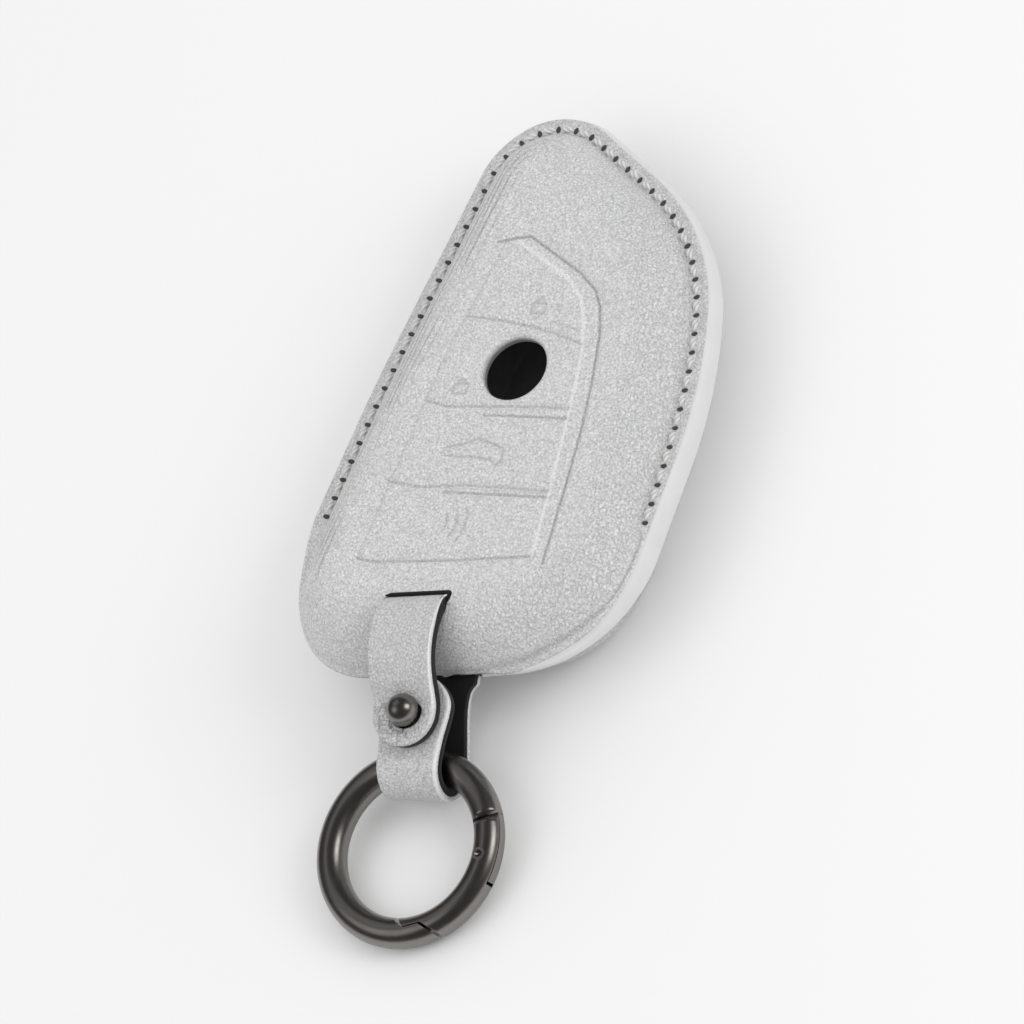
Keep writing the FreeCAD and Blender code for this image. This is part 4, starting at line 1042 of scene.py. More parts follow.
        # the creases on the left also get painted shade
        press = np.maximum(press, self.crease_tone * drawn)
        pressed, marks = self._pressed(x, y)
        z -= self.crease_depth * drawn + pressed + form.pucker(x, y)
        rim = np.hypot(x - form.window[0], y - form.window[1]) - form.bore
        z -= 0.5 * np.exp(-rim / 0.35) + 0.12 * np.exp(-((rim - 1.6) / 1.1) ** 2)
        marks |= {"press": press, "wrinkle": 0.12 + 0.5 * slope * (0.5 + 0.5 * smooth(0.0, 20.0, x))}
        return z, marks

    def build(self, materials: Materials) -> bpy.types.Object:
        """Skins rays from the cut edge to the window, over the outer face and back inside.

        Args:
            materials: The cover's materials.

        Returns:
            The front leather.
        """
        form = self.form
        start = form.outline.points[::form.outline.samples // self.rays]
        inward = form.outline.inward[::form.outline.samples // self.rays]
        sewn = self.lip_seam - form.narrow * form.leftward(start[:, 0])
        loose = self.lip_end + self.lip_heel * smooth(6.0, 20.0, start[:, 0])
        # the edge reaches a little further over the loop's root
        loose -= self.lip_loop * np.exp(-((start[:, 0] - 2.0) / 4.5) ** 2)
        lip = sewn + (loose - sewn) * form.wrap(*start.T)
        edge = start + inward * lip[:, None]
        angle = np.arctan2(edge[:, 1] - form.window[1], edge[:, 0] - form.window[0])
        rim = np.column_stack([np.cos(angle), np.sin(angle)]) * form.bore + np.array(form.window)
        share = np.linspace(0.0, 1.0, self.rings) ** self.crowd
        over = edge + (rim - edge) * share[:, None, None]
        z, marks = self.top(over[..., 0], over[..., 1], lip)
        outer = np.dstack([over, z])
        inside = outer[::-self.inner_step].copy()
        inside[..., 2] -= self.thick
        inside[-1, :, 2] = np.minimum(inside[-1, :, 2], outer[0, :, 2] - self.edge_thick)
        points = np.concatenate([outer, inside])[None]
        marks = {name: np.concatenate([mark, np.zeros(inside.shape[:2])])[None]
                 for name, mark in marks.items()}
        made = Skin(points, True, marks).as_object("front_leather", materials.leather)
        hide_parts("front_panel")
        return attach(made, Body.CASE.value)


@dataclass
class BackShell:
    """The moulded back and its unsewn flap: one piece of leather, creased at the fold.

    Attributes:
        form: The cover's form.
        rings: Rows from the cut edge to the middle.
        rays: Columns round the cover.
        inner_step: Rows of the outer face to one row of the inner.
        crowd: Power that crowds the rows towards the cut edge.
        thick: Thickness of the leather.
        run: Width of the slope.
        power: Power of the slope.
        lip: Inset of the cut edge.
    """

    form: Form
    rings: int = 90
    rays: int = 480
    inner_step: int = 7
    crowd: float = 1.1
    thick: float = 1.3
    run: float = 9.6
    power: float = 2.3
    lip: float = 0.7

    def under(self, x: Array, y: Array) -> tuple[Array, dict[str, Array]]:
        """Height of the outer face: z = flange * (1 - t) ** power, puckered at the stitches.

        Args:
            x: First coordinate.
            y: Second coordinate.

        Returns:
            Height in mm, and the shader's marks by name.
        """
        form = self.form
        inset, along = form.outline.nearest(x, y)
        full = smooth(-8.0, -36.0, y) * smooth(2.0, 18.0, x)
        foot = form.foot(x, y) - 0.9 * full
        t = np.clip((inset - foot) / (self.run - 1.6 * full), 0.0, 1.0)
        z = form.back_flange * (1.0 - t) ** self.power
        slope = smooth(0.0, 0.1, t) * smooth(1.1, 0.6, t)
        z -= 0.07 * slope * value_noise(along, inset, (9.0, 0.9), 13)
        crease = np.exp(-((y - form.fold) / 0.7) ** 2)
        z += 0.35 * crease + form.pucker(x, y)
        # painted shade along the crown's foot and in the fold's crease
        press = np.maximum(0.45 * np.exp(-((inset - foot) / 0.55) ** 2), 0.3 * crease)
        return np.maximum(z, 0.02), {"press": press, "wrinkle": 0.12 + 0.7 * slope}

    def build(self, materials: Materials) -> bpy.types.Object:
        """Skins rays from the middle of the inner face, round the cut edge, to the middle outside.

        Args:
            materials: The cover's materials.

        Returns:
            The back leather.
        """
        form = self.form
        every = form.outline.samples // self.rays
        edge = form.outline.inset(self.lip)[::every]
        middle = np.array(form.window)
        share = np.linspace(0.0, 0.995, self.rings) ** self.crowd
        over = edge + (middle - edge) * share[:, None, None]
        z, marks = self.under(over[..., 0], over[..., 1])
        outer = np.dstack([over, z])
        inside = outer[::-self.inner_step].copy()
        inside[..., 2] += self.thick
        points = np.concatenate([inside, outer])[None]
        marks = {name: np.concatenate([np.zeros(inside.shape[:2]), mark])[None]
                 for name, mark in marks.items()}
        made = Skin(points, False, marks).as_object("back_leather", materials.leather)
        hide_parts("back_panel", "back_flap")
        return bend_at_fold(made)


def bend_at_fold(piece: bpy.types.Object) -> bpy.types.Object:
    """Bakes the transform of a piece that crosses the fold into its mesh.

    Args:
        piece: A piece that crosses the fold.

    Returns:
        The same piece.
    """
    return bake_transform(piece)


@dataclass
class EdgeBand:
    """The smooth built-up edge round the cover, open where the ring tab leaves.

    Attributes:
        form: The cover's form.
        rows: Sections along it.
        columns: Points round a section.
        wide: Half width of the section.
        proud: How far it stands out from the outline.
        square: Power of the section's superellipse.
        opening: Half width of the opening.
        low_end: The opening lies below this y.
    """

    form: Form
    rows: int = 900
    columns: int = 40
    wide: float = 1.05
    proud: float = -0.3
    square: float = 0.6
    opening: float = 7.8
    low_end: float = -30.0

    def build(self, materials: Materials) -> bpy.types.Object:
        """Sweeps a rounded section along the outline.

        The section is a superellipse: inset = middle + wide * |cos v| ** square * sign(cos v), and
        the same with sin v for the height, from the back's flange to the front's.

        Args:
            materials: The cover's materials.

        Returns:
            The band.
        """
        form = self.form
        points, inward = form.outline.points, form.outline.inward
        # the line starts and ends in the opening
        aside = np.abs(points[:, 0] - form.strap_x)
        low = int(np.argmin(np.where(points[:, 1] < self.low_end, aside, np.inf)))
        points, inward, aside = (np.roll(each, -low, 0) for each in (points, inward, aside))
        clear = (aside > self.opening) | (points[:, 1] > self.low_end)
        line = even(np.column_stack([points, inward])[clear], self.rows, closed=False)
        wrapped = form.wrap(line[:, 0], line[:, 1])
        top = form.front_flange - 0.05 + (form.lip_level - 0.25 - form.front_flange) * wrapped
        bottom = form.back_flange + 0.05
        angle = np.linspace(0.0, 2 * math.pi, self.columns, endpoint=False)
        across, height = (np.sign(wave) * np.abs(wave) ** self.square
                          for wave in (np.cos(angle), np.sin(angle)))
        inset = self.wide - self.proud + self.wide * across
        flat = line[:, None, :2] + line[:, None, 2:] * inset[None, :, None]
        z = (top + bottom)[:, None] / 2 + (top - bottom)[:, None] / 2 * height[None]
        made = Skin(np.dstack([flat, z])[None]).as_object("edge_band_paint", materials.edge)
        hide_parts("edge_band", "flap_edge_band")
        return bend_at_fold(made)


@dataclass
class Seam:
    """A row of thread stitches on one face, with dark dishes of painted shade in the awl holes that
    they dive into.

    Attributes:
        form: The cover's form.
        face: The face that the row is on.
        rows: Sections along a stitch.
        columns: Points round the thread and round a hole.
        radius: Radius of the thread.
        plies: Plies of the thread.
        twist: Plies that pass along the top of a stitch.
        bulge: How far a ply stands out, as a share of the radius.
        slant: How far a stitch leans across the seam at each end.
        span: Start and length of a stitch, as shares of the pitch.
        hole: Size of an awl hole.
        cut: Its reach along and across the seam, as shares of that size.
        dish: Reach and height of each of its rings, from its middle outward and down.
    """

    form: Form
    face: Face
    rows: int = 22
    columns: int = 18
    radius: float = 0.46
    plies: int = 3
    twist: float = 2.2
    bulge: float = 0.16
    slant: float = 0.12
    span: Place = (0.17, 0.72)
    hole: float = 0.42
    cut: Place = (0.85, 1.45)
    dish: tuple[Place, ...] = ((0.15, 0.02), (0.6, 0.04), (0.9, 0.06), (1.0, -0.05), (0.9, -0.5))

    def _level(self) -> float:
        """Height of the flange that the stitches lie on."""
        front = self.face is Face.FRONT
        return self.form.front_flange if front else self.form.back_flange

    def _thread(self, holes: Array, v: Array) -> Skin:
        """Twisted tubes from hole to hole.

        r = radius * taper * (1 + bulge * cos(plies * v - 2 pi * twist * u)), and the tube arches
        over the leather as sin(pi u) ** 0.5, under it at both ends.

        Args:
            holes: Places of the stitch holes.
            v: Angles round the thread.

        Returns:
            The stitches, with the mark named press between their plies, which paints shade there.
        """
        start, step = holes[:-1], np.diff(holes, axis=0)
        side = np.column_stack([-step[:, 1], step[:, 0]])
        side /= np.linalg.norm(side, axis=1, keepdims=True)
        u = np.linspace(0.0, 1.0, self.rows)
        arch = np.sin(math.pi * u) ** 0.5
        ply = np.cos(self.plies * v[None] - 2 * math.pi * self.twist * u[:, None])
        radius = self.radius * (0.62 + 0.38 * arch)[:, None] * (1 + self.bulge * ply)
        across = radius * np.cos(v) + (self.slant * (2 * u - 1))[:, None]
        height = 0.85 * radius * np.sin(v) - 0.42 + 0.62 * arch[:, None]
        first, length = self.span
        spine = start[:, None] + step[:, None] * (first + length * u)[None, :, None]
        flat = spine[:, :, None] + side[:, None, None] * across[None, :, :, None]
        z = np.broadcast_to(self._level() + self.face.value * height, flat.shape[:3])
        press = np.broadcast_to(0.5 - 0.5 * ply, flat.shape[:3])
        return Skin(np.concatenate([flat, z[..., None]], -1), False, {"press": press})

    def _hole_shades(self, holes: Array, v: Array) -> Skin:
        """Dark dishes of painted shade at the holes, each ring an ellipse that is longer across the
        seam.

        Args:
            holes: Places of the stitch holes.
            v: Angles round a hole.

        Returns:
            The dishes.
        """
        along = np.gradient(holes, axis=0)
        along /= np.linalg.norm(along, axis=1, keepdims=True)
        over = np.column_stack([-along[:, 1], along[:, 0]])
        ring = (self.cut[0] * along[:, None] * np.cos(v)[:, None]
                + self.cut[1] * over[:, None] * np.sin(v)[:, None])
        spread, depth = np.array(self.dish).T
        flat = holes[:, None, None] + self.hole * spread[:, None, None] * ring[:, None]
        z = np.broadcast_to((self._level() + self.face.value * depth)[None, :, None], flat.shape[:3])
        return Skin(np.concatenate([flat, z[..., None]], -1))

    def build(self, materials: Materials) -> list[bpy.types.Object]:
        """Makes the stitches and the painted shade in their holes.

        Args:
            materials: The cover's materials.

        Returns:
            The thread and the dishes of painted shade in the holes.
        """
        holes = self.form.holes()
        v = np.linspace(0.0, 2 * math.pi, self.columns, endpoint=False)
        name = self.face.name.lower()
        thread = self._thread(holes, v).as_object(f"{name}_stitches", materials.thread)
        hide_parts("seam_stitches" if self.face is Face.FRONT else "back_stitches")
        pits = self._hole_shades(holes, v).as_object(f"{name}_awl_hole_shades", materials.hole)
        return [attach(piece, Body.CASE.value) for piece in (thread, pits)]


@dataclass
class Bend:
    """A strip's side view: straight and curved steps, walked from one end.

    Attributes:
        start: y and z of the first point of the strip's reference face.
        heading: First direction in degrees, from +Y towards +Z.
        steps: Length and turn in degrees of each step.
        samples: Points along it.
    """

    start: Place
    heading: float
    steps: tuple[Place, ...]
    samples: int = 4001

    def __post_init__(self) -> None:
        """Walks the steps: d(place)/ds = (cos a, sin a), with the heading a linear in each step."""
        lengths = np.array([step[0] for step in self.steps])
        turns = np.array([step[1] for step in self.steps])
        knots = np.concatenate([[0.0], np.cumsum(lengths)])
        headings = self.heading + np.concatenate([[0.0], np.cumsum(turns)])
        self.total = float(knots[-1])
        self.s = np.linspace(0.0, self.total, self.samples)
        self.a = np.radians(np.interp(self.s, knots, headings))
        middle = (self.a[1:] + self.a[:-1]) / 2
        step = self.s[1] - self.s[0]
        self.y = self.start[0] + np.concatenate([[0.0], np.cumsum(np.cos(middle))]) * step
        self.z = self.start[1] + np.concatenate([[0.0], np.cumsum(np.sin(middle))]) * step

    def at(self, s: Array, off: Array) -> tuple[Array, Array]:
        """Places on the strip.

        Args:
            s: Distance along the reference face.
            off: Distance to its left.

        Returns:
            y and z in mm.
        """
        angle = np.interp(s, self.s, self.a)
        return (np.interp(s, self.s, self.y) - off * np.sin(angle),
                np.interp(s, self.s, self.z) + off * np.cos(angle))


@dataclass
class Layer:
    """One layer of a strap.

    Attributes:
        name: The piece's name.
        node: The CAD node that it stands for.
        slot: Its material slot.
        low: Its lower face, from the strap's reference face.
        high: Its upper face.
        round: Round of its cut edges.
        trim: How far its border stands in from the strap's.
        hole: Radius of its button hole.
    """

    name: str
    node: str
    slot: Slot
    low: float
    high: float
    round: float
    trim: float = 0.0
    hole: float = 0.0


@dataclass
class ClosureStrap:
    """The strap out of the slot: leather over black lining, with a button hole at its tip.

    Attributes:
        form: The cover's form.
        layers: Leather and lining.
        bend: Side view of the strap's reference face, from the tip to the slot.
        hole_along: Middle of the button hole, from the tip.
        slit: How far the slit reaches from that middle.
        slit_half: Half width of the slit.
        tip: Length of the rounded tip.
        lean: How far the strap stands to the left of its hole, and as much again at the slot.
        skew: Slant of the end at the slot.
        skive: How much the leather is pared at the slot.
        columns: Points round the border.
        rings: Rows from the border to the hole.
    """

    form: Form
    layers: tuple[Layer, ...] = (
        Layer("strap_leather", "closure_strap", Slot.LEATHER, 1.2, 2.0, 0.3, hole=2.7),
        # the lining reaches 0.2 mm under the reference face: its black there also stands in for the
        # shadow under the strap
        Layer("strap_lining", "closure_strap_lining", Slot.LINING, -0.2, 1.2, 0.15, 0.06, 2.05))
    bend: Bend = field(default_factory=lambda: Bend((-60.25, 13.06), 12.0, (
        (5.6, 0.0), (2.592, 33.0), (2.75, 0.0), (11.82, -66.8), (0.371, -53.2), (1.2, 0.0))))
    hole_along: float = 5.5
    slit: float = 3.0
    slit_half: float = 0.06
    tip: float = 5.3
    lean: float = 0.4
    skew: float = 0.0735
    skive: float = 0.5
    columns: int = 480
    rings: int = 44

    def _border(self, trim: float) -> Array:
        """The flat strap's border, evenly round from the slot end over the tip.

        Args:
            trim: How far it stands in from the strap's own border.

        Returns:
            s along the strap and w across it, one row a point.
        """
        half = self.form.half_strap - trim
        angle = np.linspace(0.5 * math.pi, 1.5 * math.pi, 60)
        tip = np.column_stack([self.tip + trim + (self.tip - trim) * np.cos(angle),
                               half * np.sin(angle)])
        end = self.bend.total
        corners = np.array([[end, -half], [end, half]])
        return even(np.concatenate([corners, tip]), self.columns, closed=True)

    def _grid(self, layer: Layer) -> tuple[Array, Array, Array, Array]:
        """Rays of one flat layer, from its border to the button hole.

        The hole with its slit is r = max(hole, min(slit, slit_half / |sin v|)) on the tip's side.

        Args:
            layer: The layer.

        Returns:
            s along the strap, w across it, and the distances from the border and from the hole.
        """
        ray = self._border(layer.trim) - np.array([self.hole_along, -self.lean])
        reach = np.hypot(*ray.T)
        ray = ray / reach[:, None]
        cut = np.clip(self.slit_half / np.maximum(np.abs(ray[:, 1]), 1e-6), layer.hole, self.slit)
        hole = np.where(ray[:, 0] < 0, cut, layer.hole)
        share = 0.5 - 0.5 * np.cos(np.linspace(0.02, 0.98, self.rings) * math.pi)
        share = np.concatenate([[0.0], share, [1.0]])
        radius = reach + (hole - reach) * share[:, None]
        s = self.hole_along + radius * ray[:, 0]
        w = radius * ray[:, 1] - self.lean
        return s, w, reach - radius, np.maximum(radius - hole, 0.0)

    def _marks(self, s: Array, w: Array, away: Array, inner: Array) -> dict[str, Array]:
        """Marks of the upper face: painted shade over it, at the hole's rim and in the cracks round
        the hole, and a painted highlight along the right edge.

        Args:
            s: Distance along the strap.
            w: Distance across it.
            away: Distance from the border.
            inner: Distance from the hole.

        Returns:
            The marks by name.
        """
        turn = np.arctan2(w + self.lean, s - self.hole_along)
        crack = np.exp(-(value_noise(s, w, (0.7, 0.9), 23) / 0.17) ** 2) * np.exp(-inner / 2.3)
        around = 0.25 + 0.75 * smooth(-0.3, 0.6, np.cos(turn - 2.2))
        # painted highlight along the right edge between the slot and the stud
        right = 0.8 * smooth(0.1, 0.5, -w / self.form.half_strap)
        marks = edge_highlight_marks(away, right * smooth(self.hole_along - 4.0, self.hole_along + 3.0, s))
        # painted shade: a little over the whole strap, more at the hole's rim and in the cracks
        marks["press"] = 0.13 + 0.35 * np.exp(-inner / 0.3) + 0.85 * crack * around
        marks["wrinkle"] = 0.3 + 0.3 * np.exp(-inner / 1.5)
        return marks

    def _dress(self, layer: Layer, materials: Materials) -> bpy.types.Object:
        """Skins one layer, bent to the side view: rounded at its edges and sagging at the hole.

        Args:
            layer: The layer.
            materials: The cover's materials.

        Returns:
            The layer's piece.
        """
        s, w, away, inner = self._grid(layer)
        drop = edge_drop(np.minimum(away, inner), layer.round)
        sag = 0.12 * np.exp(-inner / 0.9)
        turn = np.arctan2(w + self.lean, s - self.hole_along)
        folds = 0.05 * np.cos(11 * turn + 1.3) * np.exp(-((inner - 1.2) / 0.8) ** 2)
        waves = 0.05 * value_noise(s, w, (2.6, 2.6), 21)
        leather = layer.slot is Slot.LEATHER
        # the leather is pared thin towards the slot, and the lining fills what it leaves
        pared = self.skive * smooth(self.bend.total - 6.0, self.bend.total - 1.5, s)
        top = layer.high - drop - sag + ((folds + waves) if leather else pared)
        low = layer.low + drop * 0.4 - sag + (pared if leather else 0.0)
        s2, w2 = np.concatenate([s, s[::-1]]), np.concatenate([w, w[::-1]])
        y, z = self.bend.at(s2, np.concatenate([top, low[::-1]]))
        near_slot = smooth(self.bend.total - 8.0, self.bend.total - 1.0, s2)
        middle = self.form.strap_x - self.lean * (1.0 + smooth(8.0, self.bend.total, s2))
        points = np.dstack([middle - w2, y - self.skew * w2 * near_slot, z])[None]
        paint = materials.leather if leather else materials.lining
        marks = {name: np.concatenate([mark, 0 * s])[None]
                 for name, mark in self._marks(s, w, away, inner).items()}
        made = Skin(points, True, marks).as_object(layer.name, paint)
        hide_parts(layer.node)
        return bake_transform(made)

    def build(self, materials: Materials) -> list[bpy.types.Object]:
        """Makes the leather and the lining."""
        return [self._dress(layer, materials) for layer in self.layers]


@dataclass
class RingTab:
    """The loop for the ring: out of the lip, round the wire and back to a round head.

    Attributes:
        form: The cover's form.
        layers: Leather and lining.
        bend: Side view of the loop's inner face, from the lip to the head.
        head_along: Middle of the round head, along the loop.
        head: Length of its rounded end.
        bulge: How much wider the head is than the loop.
        flare: How much wider the loop is at the lip.
        lean: How far the head stands to the left.
        rows: Sections along it.
        across: Points over its width.
    """

    form: Form
    layers: tuple[Layer, ...] = (
        Layer("tab_leather", "ring_tab", Slot.LEATHER, 1.2, 2.0, 0.3),
        Layer("tab_lining", "ring_tab_lining", Slot.LINING, 0.0, 1.2, 0.15, 0.06))
    bend: Bend = field(default_factory=lambda: Bend((-45.9, 11.0), 180.0, (
        (3.560, 34.0), (11.0, 0.0), (11.541, -202.0), (13.4, 0.0))))
    head_along: float = 34.4
    head: float = 5.2
    bulge: float = 0.85
    flare: float = 2.1
    lean: float = 0.4
    rows: int = 260
    across: int = 40

    def _half(self, s: Array) -> Array:
        """Half width along the tab: flared at the lip, straight, then round at the head.

        Args:
            s: Distance along the tab.

        Returns:
            Half of the width in mm.
        """
        straight = self.form.half_strap + self.flare * np.exp(-np.maximum(s - 1.9, 0.0) / 2.4)
        off = s - self.head_along
        wide = straight - 0.1 + self.bulge * np.exp(-(off / 4.4) ** 2)
        return wide * np.sqrt(np.clip(1.0 - (np.maximum(off, 0.0) / self.head) ** 2, 0.0, 1.0))

    def _dress(self, layer: Layer, materials: Materials) -> bpy.types.Object:
        """Sweeps one layer's section along the side view.

        Args:
            layer: The layer.
            materials: The cover's materials.

        Returns:
            The layer's piece.
        """
        t = np.linspace(0.0, 1.0, self.rows)
        last = self.head_along + self.head - 0.01 - layer.trim
        s = last * (1 - (1 - t) ** 1.6)
        half = np.maximum(self._half(s) - layer.trim, 0.05)
        side = np.sin(np.linspace(-0.5, 0.5, self.across) * math.pi)
        w = half[:, None] * side
        s2 = np.broadcast_to(s[:, None], w.shape)
        away = np.minimum(half[:, None] - np.abs(w), (last - s)[:, None])
        drop = edge_drop(away, layer.round)
        leather = layer.slot is Slot.LEATHER
        high = layer.high - drop + leather * 0.05 * value_noise(s2, w, (2.4, 2.4), 31)
        low = layer.low + 0.4 * drop
        off = np.concatenate([high, low[:, ::-1]], 1)
        y, z = self.bend.at(np.concatenate([s2, s2], 1), off)
        middle = self.form.strap_x - self.lean * smooth(8.0, 20.0, s)[:, None]
        points = np.dstack([middle + np.concatenate([w, w[:, ::-1]], 1), y, z])[None]
        crack = np.exp(-(value_noise(s2, w, (1.6, 0.35), 33) / 0.12) ** 2)
        close = np.exp(-((s2 - self.head_along + 9.0) / 2.4) ** 2)
        # painted shade over the tab and in its cracks, and a painted highlight on the rolled right
        # edge of the front leg
        faces = {"press": 0.05 + 0.3 * crack * close, "wrinkle": 0.3 + 0 * w}
        faces |= edge_highlight_marks(half[:, None] - w, 0.7 * smooth(18.0, 22.0, s2))
        marks = {name: np.concatenate([mark, 0 * w], 1)[None] for name, mark in faces.items()}
        made = Skin(points, False, marks).as_object(
            layer.name, materials.leather if leather else materials.lining)
        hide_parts(layer.node)
        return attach(made, Body.FLAP.value)

    def build(self, materials: Materials) -> list[bpy.types.Object]:
        """Makes the leather and the lining."""
        return [self._dress(layer, materials) for layer in self.layers]


@dataclass
class SlotEdge:
    """The slot's dark edge, the black lining's cut edge with painted shade in the slot, which shows
    as a line over the closure strap and down its right.

    Attributes:
        left: The line's left end.
        right: Its corner.
        end: Its lower end.
        radius: Radius of its section.
        level: Height of its middle.
        rise: How much higher it is at the lower end.
        rows: Sections along it.
        columns: Points round a section.
        ease: Sections to each side that are averaged to round the corner.
    """

    left: Place = (-11.0, -37.6)
    right: Place = (0.58, -36.75)
    end: Place = (0.15, -39.1)
    radius: float = 0.5
    level: float = 19.72
    rise: float = 0.22
    rows: int = 120
    columns: int = 14
    ease: int = 3

    def build(self, materials: Materials) -> bpy.types.Object:
        """Sweeps a round section, thin at both ends, over the strap and down to its right.

        Args:
            materials: The cover's materials.

        Returns:
            The edge.
        """
        line = even(np.array([self.left, self.right, self.end]), self.rows, closed=False)
        # the corner is eased by a running mean
        wide = 2 * self.ease + 1
        line[self.ease:-self.ease] = sum(line[k:self.rows - wide + 1 + k] for k in range(wide)) / wide
        along = np.gradient(line, axis=0)
        along /= np.linalg.norm(along, axis=1, keepdims=True)
        side = np.column_stack([-along[:, 1], along[:, 0]])
        angle = np.linspace(0.0, 2 * math.pi, self.columns, endpoint=False)
        share = np.linspace(0.0, 1.0, len(line))
        thick = self.radius * np.minimum(1.0, 0.25 + 9.0 * np.minimum(share, 1.0 - share))
        flat = line[:, None] + side[:, None] * (thick[:, None] * np.cos(angle))[..., None]
        lift = self.rise * smooth(0.8, 0.95, share)
        z = (self.level + lift)[:, None] + thick[:, None] * np.sin(angle)
        # black lining for the lining's cut edge and the painted shade in the slot
        made = Skin(np.dstack([flat, z])[None]).as_object("slot_edge", materials.lining)
        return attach(made, Body.CASE.value)


@dataclass
class Hardware:
    """The metal pieces: merged, smooth-shaded copies of the CAD nodes with a plated finish.

    Attributes:
        nodes: Body and material slot of each node.
        sharp: Angle in degrees past which an edge stays sharp.
        weld: Distance in metres within which points are merged.
    """

    nodes: dict[str, tuple[Body, Slot]] = field(default_factory=lambda: {
        "ring_body": (Body.RING, Slot.METAL), "gate_pin": (Body.RING, Slot.METAL),
        "ring_gate": (Body.GATE, Slot.METAL), "stud": (Body.FLAP, Slot.METAL),
        "stud_screw": (Body.FLAP, Slot.METAL), "gate_spring": (Body.GATE, Slot.SPRING)})
    sharp: float = 32.0
    weld: float = 1e-6

    def build(self, materials: Materials) -> list[bpy.types.Object]:
        """Copies each node.

        Args:
            materials: The cover's materials.

        Returns:
            The copies.
        """
        made = []
        for node, (body, slot) in self.nodes.items():
            shape = bmesh.new()
            shape.from_mesh(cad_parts[node].data)
            bmesh.ops.remove_doubles(shape, verts=shape.verts, dist=self.weld)
            mesh = bpy.data.meshes.new(node + "_plated")
            shape.to_mesh(mesh)
            shape.free()
            mesh.shade_smooth()
            mesh.set_sharp_from_angle(angle=math.radians(self.sharp))
            mesh.materials.clear()
            mesh.materials.append(materials.steel if slot is Slot.SPRING else materials.metal)
            piece = bpy.data.objects.new(mesh.name, mesh)
            bpy.context.scene.collection.objects.link(piece)
            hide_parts(node)
            made.append(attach(piece, body.value))
            LOG.info("%s: %d faces", mesh.name, len(mesh.polygons))
        return made


@dataclass
class KeptNodes:
    """CAD nodes that keep their shape: linings, welt and the strap's root inside the front."""

    lining: tuple[str, ...] = ("front_lining", "back_lining", "flap_lining")
    leather: tuple[str, ...] = ("seam_welt", "strap_root")

    def dress(self, materials: Materials) -> None:
        """Gives each kept node its material.

        Args:
            materials: The cover's materials.
        """
        # the linings inside the cover take the lighter copy of the lining, which paints light into
        # them
        for names, paint in ((self.lining, materials.inside), (self.leather, materials.leather)):
            for name in names:
                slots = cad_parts[name].data.materials
                slots.clear()
                slots.append(paint)
                LOG.info("%s: %s", name, paint.name)


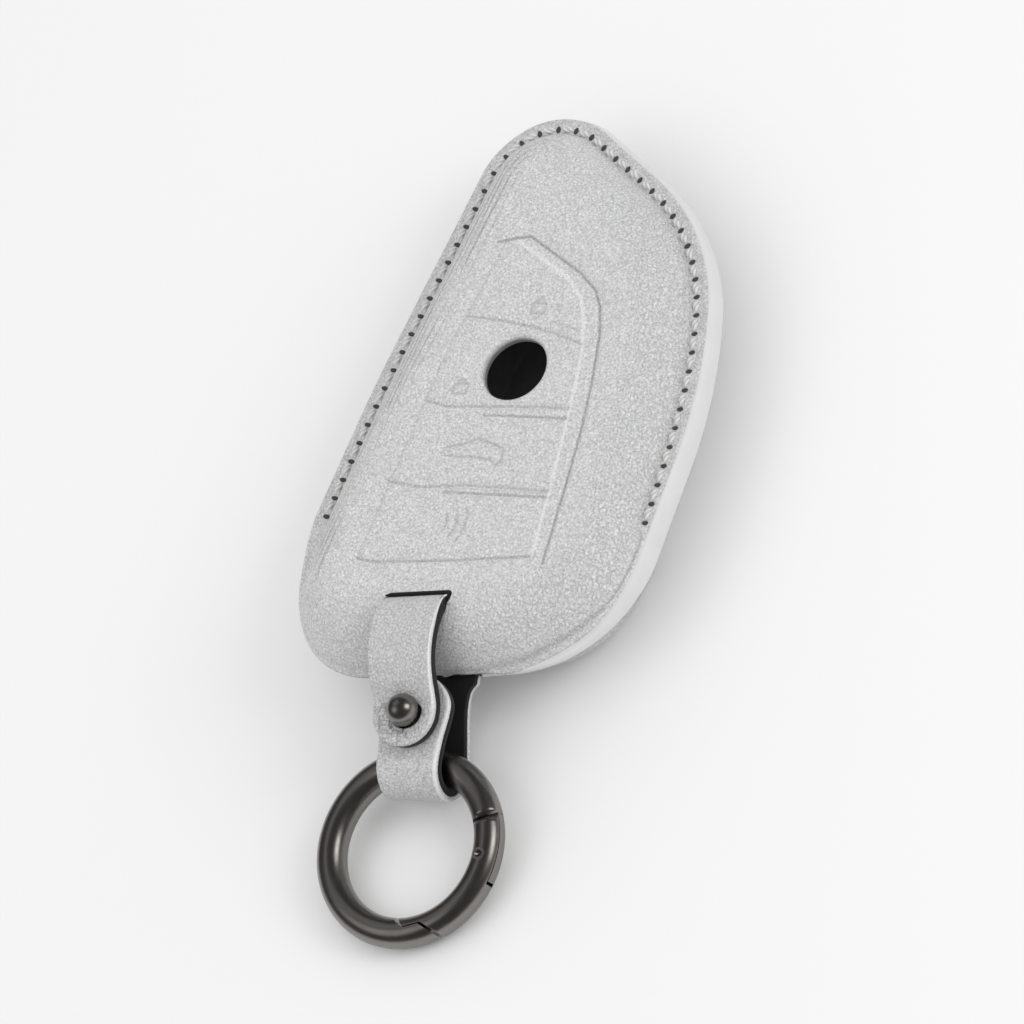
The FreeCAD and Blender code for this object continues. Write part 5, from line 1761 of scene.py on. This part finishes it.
@dataclass
class Studio:
    """A pale floor, soft daylight from all round and three lamps, seen by a long lens.

    Attributes:
        target: The place that lens and lamps face, in mm.
        towards: Direction from there to the lens.
        upward: Direction that is up in the picture.
        away: Distance of the lens in mm.
        lens: Its focal length in mm.
        floor: The floor's colour.
        cloud: The colour that it is clouded with.
        reach: Half width of the floor in metres.
        drop: How far it lies under the cover, in metres.
    """

    target: tuple[float, float, float] = (1.4, -17.8, 9.9)
    towards: tuple[float, float, float] = (0.490, -0.387, 0.780)
    upward: tuple[float, float, float] = (-0.017, 0.891, 0.453)
    away: float = 1600.0
    lens: float = 362.7
    floor: str = "#f1f1f1"
    cloud: str = "#eeeeee"
    reach: float = 3.0
    drop: float = 5e-5

    def _floor(self) -> None:
        """A wide floor under the cover."""
        made, tree = new_material("matt_floor")
        where = add_node(tree, "TexCoord").outputs["Object"]
        cloud = add_node(tree, "TexNoise", {"Vector": where, "Scale": 4.0})
        tone = add_node(tree, "Mix", {"Factor": cloud.outputs["Fac"], 6: srgb(self.floor),
                                      7: srgb(self.cloud)}, data_type="RGBA")
        close_material(tree, {"Base Color": tone.outputs[2], "Roughness": 0.9,
                              "Specular IOR Level": 0.0})
        mesh = bpy.data.meshes.new("floor")
        mesh.from_pydata([(x * self.reach, y * self.reach, -self.drop)
                          for x, y in ((-1, -1), (1, -1), (1, 1), (-1, 1))], [], [(0, 1, 2, 3)])
        mesh.materials.append(made)
        plane = bpy.data.objects.new("floor", mesh)
        bpy.context.scene.collection.objects.link(plane)

    def _sky(self) -> None:
        """Even daylight; reflections see darker surroundings, so that metal has contrast."""
        world = bpy.data.worlds.new("daylight")
        world.use_nodes = True
        tree = world.node_tree
        tree.nodes.clear()
        path = add_node(tree, "LightPath")
        day = add_node(tree, "Background", {"Color": srgb("#ffffff"), "Strength": 0.87})
        room = add_node(tree, "Background", {"Color": srgb("#8c8a88"), "Strength": 0.34})
        mixed = add_node(tree, "MixShader", {0: path.outputs["Is Glossy Ray"], 1: day.outputs[0],
                                             2: room.outputs[0]})
        add_node(tree, "OutputWorld", {"Surface": mixed.outputs[0]})
        bpy.context.scene.world = world

    def _lamp(self, name: str, place: tuple[float, float, float], size: float, power: float) -> None:
        """A square lamp that faces the target.

        Args:
            name: The lamp's name.
            place: Where it stands from the target, in mm.
            size: Its side in metres.
            power: Its power in watts.
        """
        lamp = bpy.data.lights.new(name, "AREA")
        lamp.size = size
        lamp.energy = power
        made = bpy.data.objects.new(name, lamp)
        bpy.context.scene.collection.objects.link(made)
        spot = (Vector(self.target) + Vector(place)) * MM
        aim = (Vector(self.target) * MM - spot).to_track_quat("-Z", "Y")
        made.matrix_world = Matrix.LocRotScale(spot, aim, None)

    def _camera(self) -> None:
        """A long lens, from the right, below and above."""
        back = Vector(self.towards).normalized()
        right = Vector(self.upward).cross(back).normalized()
        up = back.cross(right)
        camera = bpy.data.cameras.new("camera")
        camera.sensor_width = 36.0
        camera.lens = self.lens
        made = bpy.data.objects.new("camera", camera)
        bpy.context.scene.collection.objects.link(made)
        spot = (Vector(self.target) + back * self.away) * MM
        turn = Matrix((right, up, back)).transposed().to_4x4()
        made.matrix_world = Matrix.Translation(spot) @ turn
        bpy.context.scene.camera = made

    def build(self) -> None:
        """Makes floor, sky, lamps and camera, with plain colours."""
        bpy.context.scene.view_settings.view_transform = "Standard"
        self._floor()
        self._sky()
        self._lamp("key_lamp", (-450.0, 350.0, 800.0), 0.6, 0.35)
        self._lamp("side_lamp", (650.0, 150.0, 450.0), 0.36, 1.5)
        self._lamp("ring_lamp", (-490.0, -380.0, 790.0), 0.6, 0.8)
        self._camera()


def main() -> None:
    """Builds every piece of the cover and its studio."""
    logging.basicConfig(level=logging.INFO, format="%(name)s %(message)s")
    materials = Materials()
    form = Form()
    FrontShell(form).build(materials)
    BackShell(form).build(materials)
    EdgeBand(form).build(materials)
    for face in Face:
        Seam(form, face).build(materials)
    SlotEdge().build(materials)
    ClosureStrap(form).build(materials)
    RingTab(form).build(materials)
    Hardware().build(materials)
    KeptNodes().dress(materials)
    Studio().build()


if __name__ == "__main__":
    main()
